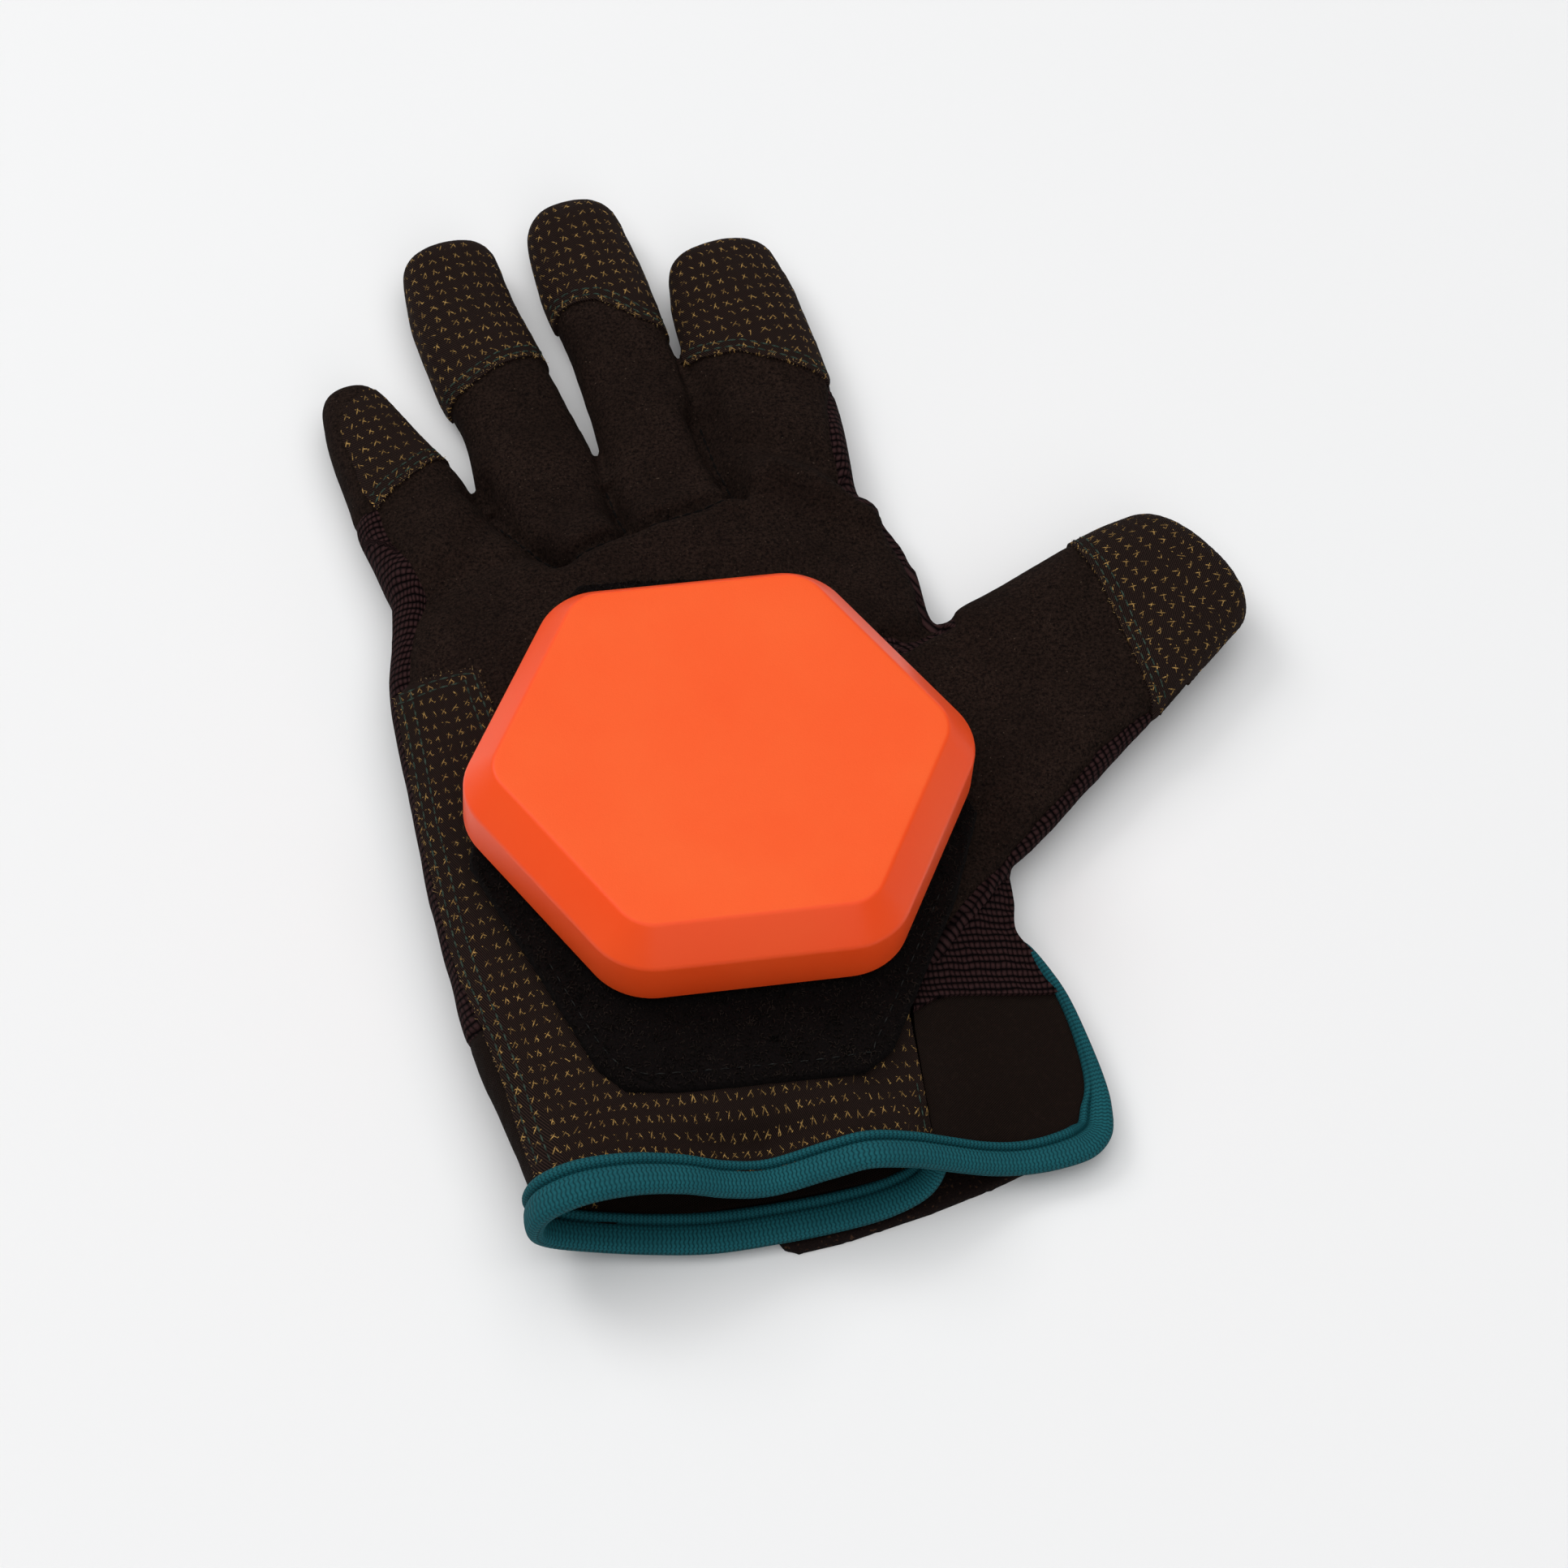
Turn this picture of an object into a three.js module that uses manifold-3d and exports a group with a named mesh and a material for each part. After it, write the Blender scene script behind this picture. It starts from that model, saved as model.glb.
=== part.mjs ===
// A longboard slide glove for the right hand, lying palm up on a flat surface.
// Millimetres. +Y runs from the wrist to the fingertips, +X towards the thumb, +Z up.
// The origin is on the surface, straight under the middle of the puck.
import * as THREE from "three";
import { mergeVertices } from "three/addons/utils/BufferGeometryUtils.js";
import Module from "manifold-3d";

const wasm = await Module();
wasm.setup();

// Driving dimensions
const CLOTH = 1.4; // suede, knit and smooth stretch cloth
const ARAMID_PROUD = 0.6; // the aramid cloth is thicker by this much
const GAP = 0.3; // between neighbouring pieces
const CUFF_Y = -73; // where the cloth goes into the binding
const PUCK_RADIUS = 50; // centre to sharp corner, at the rim
const PUCK_CORNER = 13; // radius of the rounded corners, at the rim
const PUCK_WALL = 9.7; // straight wall below the rim
const PUCK_BEVEL_IN = 5.5; // the bevel above the rim, inwards and upwards
const PUCK_BEVEL_UP = 6.6;
const PUCK_TURN = -0.95; // degrees, its corners point almost along X
const LEAN_X = 3.57; // degrees that the palm leans towards the thumb
const LEAN_Y = 1.85; // and towards the fingers
const PALM_HEIGHT = 18.5; // of the palm under the middle of the puck
const PATCH_THICK = 1.6; // loop patch
const HOOK_THICK = 1.3; // hook pad on the back of the puck
const HOOK_RADIUS = 43;
const STRAP_THICK = 1.9;

// Rows are written as plain numbers under named columns
const table = (columns, rows) =>
  rows.map((row) => Object.fromEntries(columns.map((name, i) => [name, row[i]])));

// The hand: left and right edge and their heights, six crown heights from left to right, underside
const HAND_COLUMNS = ["y", "left", "right", "leftZ", "rightZ", "a", "b", "c", "d", "e", "f", "under"];
const HAND = table(HAND_COLUMNS, [
  [-73, -47, 29, 13, 9.5, 26, 23, 17.5, 15.2, 18, 18.4, 2.5],
  [-60, -49.5, 36, 12, 9, 23.6, 22.6, 21.4, 20.6, 19.9, 17.4, 2.5],
  [-45, -51, 45, 11, 8.5, 22.8, 21.9, 21, 20.2, 19.2, 17.2, 2.3],
  [-30, -53, 51.5, 10, 8, 22.3, 21.4, 20.4, 19.5, 18.6, 17.2, -0.5],
  [-5, -55, 52.5, 9.5, 8, 21.6, 20.6, 19.7, 18.7, 17.8, 16.5, -0.8],
  [20, -56, 51.5, 9, 8, 20.6, 19.9, 18.9, 18, 17, 15.8, -0.8],
  [43, -57, 50, 9, 8, 19.2, 19, 18.2, 17.2, 16.3, 15.1, -0.8],
  [56, -55, 48.5, 9, 8, 17.3, 17.8, 17.6, 16.9, 16.2, 15, -0.6],
  [68, -53.5, 44, 8.5, 8, 15.3, 16.2, 16.4, 16.4, 15.9, 14.6, -0.5],
  [80, -51, 40, 7.5, 7.5, 11.5, 13, 13.3, 13.4, 13.2, 12.3, 0.4],
]);

// A digit: centre line, width across, lowest and highest point
const LIMB_COLUMNS = ["x", "y", "width", "low", "high"];
const LIMBS = {
  pinky: {
    tip: 9,
    rows: table(LIMB_COLUMNS, [
      [-40, 58, 24, 1, 13],
      [-42.5, 72, 25.5, 0, 14.5],
      [-45.5, 86, 24, -0.5, 14.5],
      [-49.5, 98, 20.5, -0.4, 14],
      [-52.5, 107, 18.5, -0.2, 13.6],
      [-54, 114, 16.5, 0.2, 12.6],
    ]),
  },
  ring: {
    tip: 9,
    rows: table(LIMB_COLUMNS, [
      [-16, 60, 24, 1, 13],
      [-18.5, 78, 26, -0.2, 14],
      [-20.5, 92, 25, -0.5, 14],
      [-23, 106, 24, -0.5, 14],
      [-25.7, 121, 24.5, -0.4, 14],
      [-29, 133, 22, -0.2, 13.5],
      [-31, 148, 19.5, 0.3, 12.5],
    ]),
  },
  middle: {
    tip: 9,
    rows: table(LIMB_COLUMNS, [
      [7, 60, 24, 1, 13],
      [5.5, 82, 24.5, -0.2, 14],
      [4, 96, 23.5, -0.5, 14],
      [2, 112, 21.4, -0.5, 14],
      [0, 126, 22.5, -0.4, 14],
      [-2, 138, 22.8, -0.2, 13.5],
      [-4, 154, 18.5, 0.3, 12.5],
    ]),
  },
  index: {
    tip: 8.5,
    rows: table(LIMB_COLUMNS, [
      [29.5, 58, 25, 1, 13],
      [29.5, 77, 24.5, -0.2, 14.5],
      [28.7, 92, 26, -0.5, 14.5],
      [27.5, 106, 26.6, -0.5, 14.5],
      [26.8, 118, 26, -0.4, 14],
      [25.5, 130, 24.5, -0.2, 13.5],
      [24.7, 139, 20.5, 0.3, 12.5],
    ]),
  },
  thumb: {
    tip: 9,
    rows: table(LIMB_COLUMNS, [
      [30, 0, 54, 2, 13],
      [46, 10, 52, 0.5, 15.5],
      [62.2, 19.9, 47, 0.8, 16.5],
      [80.7, 30.8, 40, 1.6, 17],
      [92.3, 38.4, 36.5, 2.4, 17],
      [102.5, 43.6, 31.5, 3.2, 16.5],
    ]),
  },
};

// Where the tip cap of each digit is sewn on, left to right across the digit, seen from above
const TIP_SEAMS = {
  pinky: [[-55, 86], [-47, 95], [-38, 96.5]],
  ring: [[-38, 111.5], [-33.5, 116.5], [-26, 119.5], [-12, 120]],
  middle: [[-13, 127], [-9, 132], [-5, 133], [4, 128], [12, 121]],
  index: [[11, 113], [26, 113.5], [34, 108.5], [42, 102]],
  thumb: [[78, 55], [83, 47], [86, 36], [88, 24], [88.5, 10]],
};

// Where the front and back of the glove meet at the sides: height against x
const SIDE_SEAM = [[-90, 13], [-54, 12.5], [-42, 7.5], [34, 7.5], [42, 9.5], [140, 9.5]];

// Outlines of the sewn panels, seen from above
const WRIST_EDGE = [[28.5, -42], [26.6, -50], [25.8, -90]]; // between heel and wrist panel
const HEEL_OUTLINE = [[-62, 36], [-50, 39], [-39, 41], [-35, 20], [-20, -20], [20, -38], ...WRIST_EDGE,
  [-62, -90]];
const FINGER_BASE = [[-24.5, 63], [-19, 65.5], [-5, 71], [5, 73], [18.5, 74.5]];
const FINGER_PAIR = [[16.5, 90], [14, 104], [12.3, 124], [12.3, 175], [-45, 175], [-37, 105],
  [-33, 92], [-28.5, 77]];
const PAIR_SPLIT = [[-4, 60], [-7, 81], [-8, 94], [-12, 121], [-15.5, 131], [-17, 175]];
const THUMB_BACK = [[53, -40], [47, -18], [40, 8], [42, 44], [60, 80], [130, 80], [130, -40]];
const GUSSET_OUTLINE = [[88.5, 12], [80, 8], [67, -2], [53, -14], [41, -24], [33, -33],
  ...WRIST_EDGE.map(([x, y]) => [x + GAP, y]), [130, -90], [130, 12]];
const WRIST_BACK_TOP = -38;
const LOOP_PATCH_OUTLINE = [[-48, -7], [-38, -35], [-31.5, -54], [-27, -59.5], [-18, -61], [16, -62],
  [22, -58], [40, -27.5], [48, -9], [40, 12], [14, 49], [6, 52.5], [-18, 54], [-25, 50], [-47, 4]];
const STRAP_OUTLINE = [[-4, -83], [-3, -85], [-0.5, -86.2], [12, -84.4], [44, -77.5], [47, -76],
  [47, -54], [44, -52.5], [0, -60], [-3.4, -62]];

// The flap beyond the wrist slit: inner and outer edge and three heights across
const FLAP = table(
  ["y", "inner", "outer", "innerZ", "middleZ", "outerZ"],
  [
    [-29, 37.2, 49.5, 16.2, 15.4, 12],
    [-36, 32, 51, 16.4, 14.4, 10.5],
    [-46.6, 28, 54, 16.4, 12.8, 8],
    [-60, 26.9, 55.8, 15.2, 9, 5.9],
    [-68, 26.7, 55.4, 13.8, 7, 5.5],
    [CUFF_Y, 26.6, 51.4, 12.8, 6.6, 5.5],
  ],
);
const GUSSET_ROWS = 3; // the flap's first rows are knit, the others are the smooth wrist panel

// The binding's outer edge, from the top of the slit round to the hidden end of the lower layer.
// turn is the way into the cloth, in degrees from +Y towards -X.
const BINDING_COLUMNS = ["x", "y", "z", "turn", "width", "thick"];
const BINDING = table(BINDING_COLUMNS, [
  [53.6, -32, 9.6, 80, 2.2, 2],
  [55.6, -38, 8.8, 80, 3, 2.4],
  [58, -47, 7.2, 85, 3.2, 2.6],
  [59.8, -60, 5.4, 88, 3.6, 2.8],
  [60.6, -70.5, 4.8, 80, 4.6, 3],
  [58.9, -78.2, 4.8, 52, 7.2, 3],
  [53, -81.4, 5, 14, 8.4, 3],
  [44, -81.4, 5.2, 0, 8.1, 3.2],
  [37, -81, 6.4, 0, 7.7, 3.4],
  [28, -80.6, 11.6, 0, 7.3, 3.6],
  [22, -80.6, 15.8, 0, 7.3, 3.6],
  [14, -80.6, 18.6, 0, 7.3, 3.6],
  [7, -80.8, 17.2, 0, 7.5, 3.6],
  [-4, -81, 14.3, 0, 7.7, 3.6],
  [-12, -81, 16.2, 0, 7.7, 3.6],
  [-20, -81, 20.6, 0, 7.7, 3.6],
  [-29, -81.4, 23.9, 0, 8.1, 3.6],
  [-38, -81.8, 24, 0, 8.5, 3.6],
  [-44.6, -82, 20, 0, 8.7, 3.6],
  [-46.6, -82.2, 13.5, 0, 8.9, 3.6],
  [-44, -82.4, 8, 0, 9.1, 3.6],
  [-34, -82.6, 4.8, 0, 9.3, 3.6],
  [-20, -82.6, 3.5, 0, 9.3, 3.2],
  [-6, -82.4, 3.5, 0, 9.1, 2.8],
  [10, -81.8, 3.7, 0, 8.5, 2.8],
  [19, -80.6, 4.9, 0, 7.3, 2.8],
  [25, -79, 7.2, 0, 5.7, 2.8],
]);

// Value of one column between the rows, along a smooth curve
const sample = (rows, column, t) =>
  new THREE.SplineCurve(rows.map((row, i) => new THREE.Vector2(i, row[column]))).getPoint(t).y;

// A closed body through rings of equal point counts, with a flat cap at each end
function throughRings(rings) {
  const count = rings[0].length;
  const positions = rings.flat().flatMap((p) => [p.x, p.y, p.z]);
  const index = [];
  const quad = (a, b, c, d) => index.push(a, b, c, a, c, d);
  for (let i = 0; i + 1 < rings.length; i += 1) {
    for (let j = 0; j < count; j += 1) {
      const next = (j + 1) % count;
      quad(i * count + j, i * count + next, (i + 1) * count + next, (i + 1) * count + j);
    }
  }
  for (const [ring, flip] of [[0, true], [rings.length - 1, false]]) {
    const centre = positions.length / 3;
    const middle = rings[ring].reduce((sum, p) => sum.add(p), new THREE.Vector3());
    middle.divideScalar(count);
    positions.push(middle.x, middle.y, middle.z);
    for (let j = 0; j < count; j += 1) {
      const a = ring * count + j;
      const b = ring * count + ((j + 1) % count);
      index.push(...(flip ? [centre, b, a] : [centre, a, b]));
    }
  }
  const geometry = new THREE.BufferGeometry();
  geometry.setAttribute("position", new THREE.Float32BufferAttribute(positions, 3));
  geometry.setIndex(index);
  return geometry;
}

function toSolid(geometry) {
  geometry.deleteAttribute("normal");
  geometry.deleteAttribute("uv");
  const merged = mergeVertices(geometry, 1e-5);
  const mesh = new wasm.Mesh({
    numProp: 3,
    vertProperties: new Float32Array(merged.attributes.position.array),
    triVerts: new Uint32Array(merged.index.array),
  });
  const solid = new wasm.Manifold(mesh);
  return solid.volume() < 0 ? new wasm.Manifold(reversed(mesh)) : solid;
}

function reversed(mesh) {
  const triVerts = mesh.triVerts.slice();
  for (let i = 0; i < triVerts.length; i += 3) {
    [triVerts[i], triVerts[i + 1]] = [triVerts[i + 1], triVerts[i]];
  }
  return new wasm.Mesh({ numProp: 3, vertProperties: mesh.vertProperties, triVerts });
}

const signedPower = (value, power) => Math.sign(value) * Math.abs(value) ** power;

// One ring of a soft tube: a squarish oval with its own crown line and underside
function ovalRing(points, squareness, place) {
  return Array.from({ length: points }, (_, i) => {
    const angle = (i / points) * 2 * Math.PI;
    const across = signedPower(Math.cos(angle), 2 / squareness);
    return place(across, signedPower(Math.sin(angle), 2 / squareness));
  });
}

const HAND_POINTS = 32;
const HAND_SQUARENESS = 2.7;

// The hand's tube. grow makes it larger or, where negative, smaller all round.
function handTube(grow, startY, endY) {
  const steps = 18;
  const last = HAND.length - 1;
  const rings = [];
  for (let i = 0; i <= steps; i += 1) {
    const t = i / steps;
    const row = Object.fromEntries(HAND_COLUMNS.map((key) => [key, sample(HAND, key, t)]));
    const y = i === 0 ? startY : row.y + (endY - HAND[last].y) * t;
    rings.push(
      ovalRing(HAND_POINTS, HAND_SQUARENESS, (across, up) => {
        const u = (across + 1) / 2;
        const crowns = [row.a, row.a, row.b, row.c, row.d, row.e, row.f, row.f];
        const crown = sample(crowns.map((z) => ({ z })), "z", u);
        const edge = row.leftZ + (row.rightZ - row.leftZ) * u;
        const x = (row.left + row.right) / 2 + across * ((row.right - row.left) / 2 + grow);
        const top = crown + grow - edge;
        const bottom = edge - row.under + grow;
        return new THREE.Vector3(x, y, edge + up * (up > 0 ? top : bottom));
      }),
    );
  }
  return toSolid(throughRings(rings));
}

const LIMB_POINTS = 18;
const LIMB_SQUARENESS = 2.5;
const TIP_RINGS = 3;

function limbTube(limb, grow) {
  const { rows, tip } = limb;
  const steps = rows.length + 2;
  const stations = Array.from({ length: steps + 1 }, (_, i) => {
    const t = i / steps;
    return Object.fromEntries(LIMB_COLUMNS.map((key) => [key, sample(rows, key, t)]));
  });
  const end = stations[steps];
  const before = stations[steps - 1];
  const ahead = new THREE.Vector2(end.x - before.x, end.y - before.y).normalize();
  for (let k = 1; k <= TIP_RINGS; k += 1) {
    const angle = (k / TIP_RINGS) * 1.42;
    const shrink = Math.cos(angle) ** 0.75;
    const reach = (tip + grow) * Math.sin(angle);
    const middle = (end.low + end.high) / 2;
    const half = ((end.high - end.low) / 2) * shrink;
    stations.push({
      x: end.x + ahead.x * reach,
      y: end.y + ahead.y * reach,
      width: end.width * shrink,
      low: middle - half,
      high: middle + half,
      shrink,
    });
  }
  const rings = stations.map((s, i) => {
    const p = stations[Math.max(i - 1, 0)];
    const q = stations[Math.min(i + 1, stations.length - 1)];
    const along = new THREE.Vector2(q.x - p.x, q.y - p.y).normalize();
    const more = grow * (s.shrink ?? 1);
    const middle = (s.low + s.high) / 2;
    return ovalRing(LIMB_POINTS, LIMB_SQUARENESS, (across, up) => {
      const side = across * (s.width / 2 + more);
      const rise = up * ((s.high - s.low) / 2 + more);
      return new THREE.Vector3(s.x + along.y * side, s.y - along.x * side, middle + rise);
    });
  });
  return toSolid(throughRings(rings));
}

// A straight-sided block over an outline in plan
function prism(outline, low, high) {
  const shape = new THREE.Shape(outline.map(([x, y]) => new THREE.Vector2(x, y)));
  const geometry = new THREE.ExtrudeGeometry(shape, { depth: high - low, bevelEnabled: false });
  geometry.translate(0, 0, low);
  return toSolid(geometry);
}

// The same outline moved outwards by a distance
function outset(outline, distance) {
  const area = THREE.ShapeUtils.area(outline.map(([x, y]) => ({ x, y })));
  const sign = Math.sign(area) * distance;
  return outline.map(([x, y], i) => {
    const [px, py] = outline[(i + outline.length - 1) % outline.length];
    const [nx, ny] = outline[(i + 1) % outline.length];
    const a = new THREE.Vector2(y - py, px - x).normalize();
    const b = new THREE.Vector2(ny - y, x - nx).normalize();
    const mean = a.clone().add(b).normalize();
    const reach = sign / Math.max(mean.dot(a), 0.4);
    return [x + mean.x * reach, y + mean.y * reach];
  });
}

// Everything in front of a seam line that crosses a digit, moved back by a distance
function beyond(seam, back = 0) {
  const [first, last] = [seam[0], seam[seam.length - 1]];
  const across = new THREE.Vector2(last[0] - first[0], last[1] - first[1]).normalize();
  const ahead = new THREE.Vector2(-across.y, across.x);
  const shift = ([x, y], side, forward) => [
    x + across.x * side + ahead.x * (forward - back),
    y + across.y * side + ahead.y * (forward - back),
  ];
  const wide = 20;
  return [shift(first, -wide, 0), ...seam.map((p) => shift(p, 0, 0)), shift(last, wide, 0),
    shift(last, wide, 60), shift(first, -wide, 60)];
}

// The space above or below the line where front and back meet
function sideBlock(above) {
  const far = above ? 60 : -5;
  const line = SIDE_SEAM.map(([x, z]) => [x, z + (above ? GAP / 2 : -GAP / 2)]);
  const outline = [...line, [line[line.length - 1][0], far], [line[0][0], far]];
  const shape = new THREE.Shape(outline.map(([x, z]) => new THREE.Vector2(x, z)));
  const geometry = new THREE.ExtrudeGeometry(shape, { depth: 300, bevelEnabled: false });
  geometry.rotateX(Math.PI / 2);
  geometry.translate(0, 190, 0);
  return toSolid(geometry);
}

// The leaning plane that the palm, the patch and the puck share
const lean = new THREE.Matrix4();
{
  const angle = THREE.MathUtils.degToRad(Math.hypot(LEAN_X, LEAN_Y));
  const axis = new THREE.Vector3(-LEAN_Y, LEAN_X, 0).normalize();
  lean.makeRotationAxis(axis, angle);
}
const palmNormal = new THREE.Vector3(0, 0, 1).applyMatrix4(lean);
function onPalm(geometry, lift) {
  geometry.applyMatrix4(lean);
  const base = new THREE.Vector3(0, 0, PALM_HEIGHT).addScaledVector(palmNormal, lift);
  return geometry.translate(base.x, base.y, base.z);
}

function slab(outline, thick, lift) {
  const shape = new THREE.Shape(outline.map(([x, y]) => new THREE.Vector2(x, y)));
  return onPalm(new THREE.ExtrudeGeometry(shape, { depth: thick, bevelEnabled: false }), lift);
}

// Rounded hexagon, corners every 60 degrees
function hexagon(radius, corner, z) {
  const arcSteps = 5;
  const centre = radius - corner / Math.cos(Math.PI / 6);
  const points = [];
  for (let side = 0; side < 6; side += 1) {
    const toCorner = THREE.MathUtils.degToRad(PUCK_TURN + side * 60);
    for (let k = 0; k <= arcSteps; k += 1) {
      const angle = toCorner + (k / arcSteps - 0.5) * (Math.PI / 3);
      points.push(
        new THREE.Vector3(
          centre * Math.cos(toCorner) + corner * Math.cos(angle),
          centre * Math.sin(toCorner) + corner * Math.sin(angle),
          z,
        ),
      );
    }
  }
  return points;
}

function puckBody() {
  const edge = 0.8; // small rounding of every edge
  const inset = (distance) => PUCK_RADIUS - distance / Math.cos(Math.PI / 6);
  const slope = PUCK_BEVEL_UP / PUCK_BEVEL_IN;
  const levels = [
    [edge, 0],
    [0, edge],
    [0, PUCK_WALL - edge],
    [edge * 0.4, PUCK_WALL + edge * slope * 0.4],
    [PUCK_BEVEL_IN - edge * 0.5, PUCK_WALL + PUCK_BEVEL_UP - edge * 0.5 * slope],
    [PUCK_BEVEL_IN + edge * 0.7, PUCK_WALL + PUCK_BEVEL_UP],
  ];
  const rings = levels.map(([inwards, z]) => hexagon(inset(inwards), PUCK_CORNER - inwards, z));
  return throughRings(rings);
}

// A sheet of cloth through rows of points, with its thickness downwards
function sheet(rows, thick) {
  const rings = rows.map((row) => {
    const under = row.map((p) => new THREE.Vector3(p.x, p.y, p.z - thick));
    return [...row, ...under.reverse()];
  });
  return toSolid(throughRings(rings));
}

function flapSheet(rows) {
  const steps = 6;
  return sheet(
    rows.map((row) =>
      Array.from({ length: steps + 1 }, (_, i) => {
        const heights = [{ z: row.innerZ }, { z: row.middleZ }, { z: row.outerZ }];
        const x = row.inner + (row.outer - row.inner) * (i / steps);
        return new THREE.Vector3(x, row.y, sample(heights, "z", i / steps));
      }),
    ),
    CLOTH,
  );
}

// The binding: a flat rounded strip whose outer edge follows the table
function bindingStrip() {
  const steps = (BINDING.length - 1) * 2;
  const stations = Array.from({ length: steps + 1 }, (_, i) =>
    Object.fromEntries(BINDING_COLUMNS.map((key) => [key, sample(BINDING, key, i / steps)])));
  const place = (s) => new THREE.Vector3(s.x, s.y, s.z);
  const rings = stations.map((s, i) => {
    const previous = place(stations[Math.max(i - 1, 0)]);
    const along = place(stations[Math.min(i + 1, steps)]).sub(previous).normalize();
    const turn = THREE.MathUtils.degToRad(s.turn);
    const inward = new THREE.Vector3(-Math.sin(turn), Math.cos(turn), 0);
    inward.addScaledVector(along, -inward.dot(along)).normalize();
    const normal = new THREE.Vector3().crossVectors(inward, along);
    return ovalRing(10, 3.2, (across, up) =>
      place(s)
        .addScaledVector(inward, (s.width / 2) * (1 + across))
        .addScaledVector(normal, (s.thick / 2) * up));
  });
  return toSolid(throughRings(rings));
}

const join = (solids) => solids.reduce((sum, solid) => sum.add(solid));
const cutAway = (solid, ...others) => others.reduce((left, other) => left.subtract(other), solid);

// The hollow glove: outer skin less the room inside, front and back
const digits = Object.keys(LIMBS);
const outer = join([handTube(0, CUFF_Y, 86), ...digits.map((d) => limbTube(LIMBS[d], 0))]);
const thicker = join([
  handTube(ARAMID_PROUD, CUFF_Y, 86),
  ...digits.map((d) => limbTube(LIMBS[d], ARAMID_PROUD)),
]);
const room = join([
  handTube(-CLOTH, CUFF_Y - 6, 84),
  ...digits.map((d) => limbTube(LIMBS[d], -CLOTH)),
]);
const everywhere = [[-120, -120], [160, -120], [160, 220], [-120, 220]];
const aboveFloor = prism(everywhere, 0, 80);
const aboveInsole = prism(everywhere, CLOTH, 80);
const hollow = room.intersect(aboveInsole);
const skin = outer.intersect(aboveFloor).subtract(hollow);
const thickSkin = thicker.intersect(aboveFloor).subtract(hollow);

const patchSeat = toSolid(slab(outset(LOOP_PATCH_OUTLINE, GAP), 30, 0));
const front = cutAway(skin.intersect(sideBlock(true)), patchSeat);
const thickFront = cutAway(thickSkin.intersect(sideBlock(true)), patchSeat);
const back = skin.intersect(sideBlock(false));

const tall = (outline) => prism(outline, -5, 80);
const solids = {};
const around = (digit) => limbTube(LIMBS[digit], ARAMID_PROUD + 0.05);
const tipZones = digits.map((d) => tall(beyond(TIP_SEAMS[d], GAP)).intersect(around(d)));
for (const digit of digits) {
  const zone = tall(beyond(TIP_SEAMS[digit])).intersect(around(digit));
  solids[`${digit}_tip`] = thickFront.intersect(zone);
  solids[`${digit}_tip_back`] = back.intersect(zone);
}

const heelZone = tall(HEEL_OUTLINE);
const heelRoom = tall(outset(HEEL_OUTLINE, GAP));
solids.heel_panel = thickFront.intersect(heelZone);

const pairOutline = [...FINGER_BASE, ...FINGER_PAIR];
const pairZone = tall(pairOutline);
const pairRoom = tall(outset(pairOutline, GAP));
const ringSide = tall([...PAIR_SPLIT, [-60, 175], [-60, 60]]);
const middleSide = tall([...PAIR_SPLIT.map(([x, y]) => [x + GAP, y]), [30, 175], [30, 60]]);
const pairFront = cutAway(front.intersect(pairZone), ...tipZones);
solids.ring_front = pairFront.intersect(ringSide);
solids.middle_front = pairFront.intersect(middleSide);

const slitSide = tall([...WRIST_EDGE, [130, -90], [130, -31], [34, -31]]);
const gussetZone = tall(GUSSET_OUTLINE);
const gussetRoom = tall(outset(GUSSET_OUTLINE, GAP));
const aboveSole = prism(everywhere, 3, 80);
const gussetWall = skin.intersect(gussetZone).intersect(aboveSole);
const gussetFlap = flapSheet(FLAP.slice(0, GUSSET_ROWS));
solids.thumb_gusset = join([cutAway(gussetWall, slitSide, patchSeat, ...tipZones), gussetFlap]);
const wristRows = FLAP.slice(GUSSET_ROWS - 1).map((row, i) => ({ ...row, y: row.y - (i ? 0 : GAP) }));
solids.wrist_panel = flapSheet(wristRows);
solids.palm_panel = cutAway(front, heelRoom, pairRoom, gussetRoom, ...tipZones);

const thumbBack = tall(THUMB_BACK);
const thumbBackRoom = tall(outset(THUMB_BACK, GAP));
const belowGusset = cutAway(back, gussetRoom.intersect(prism(everywhere, 3 - GAP, 80)));
const wristZone = tall([[-90, WRIST_BACK_TOP], [90, WRIST_BACK_TOP], [90, -120], [-90, -120]]);
const wristRoom = tall([[-90, WRIST_BACK_TOP + GAP], [90, WRIST_BACK_TOP + GAP], [90, -120],
  [-90, -120]]);
solids.wrist_back = belowGusset.intersect(wristZone);
const upperBack = cutAway(belowGusset, wristRoom, ...tipZones);
solids.thumb_back = upperBack.intersect(thumbBack);
solids.hand_back = cutAway(upperBack, thumbBackRoom);

solids.loop_patch = toSolid(slab(LOOP_PATCH_OUTLINE, PATCH_THICK, GAP));
const hookLift = GAP + PATCH_THICK + GAP;
solids.hook_pad = toSolid(
  onPalm(throughRings([hexagon(HOOK_RADIUS, 8, 0), hexagon(HOOK_RADIUS, 8, HOOK_THICK)]), hookLift),
);
solids.puck = toSolid(onPalm(puckBody(), hookLift + HOOK_THICK + GAP));
solids.cuff_binding = bindingStrip();
solids.closure_strap = prism(STRAP_OUTLINE, 0, STRAP_THICK);

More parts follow.
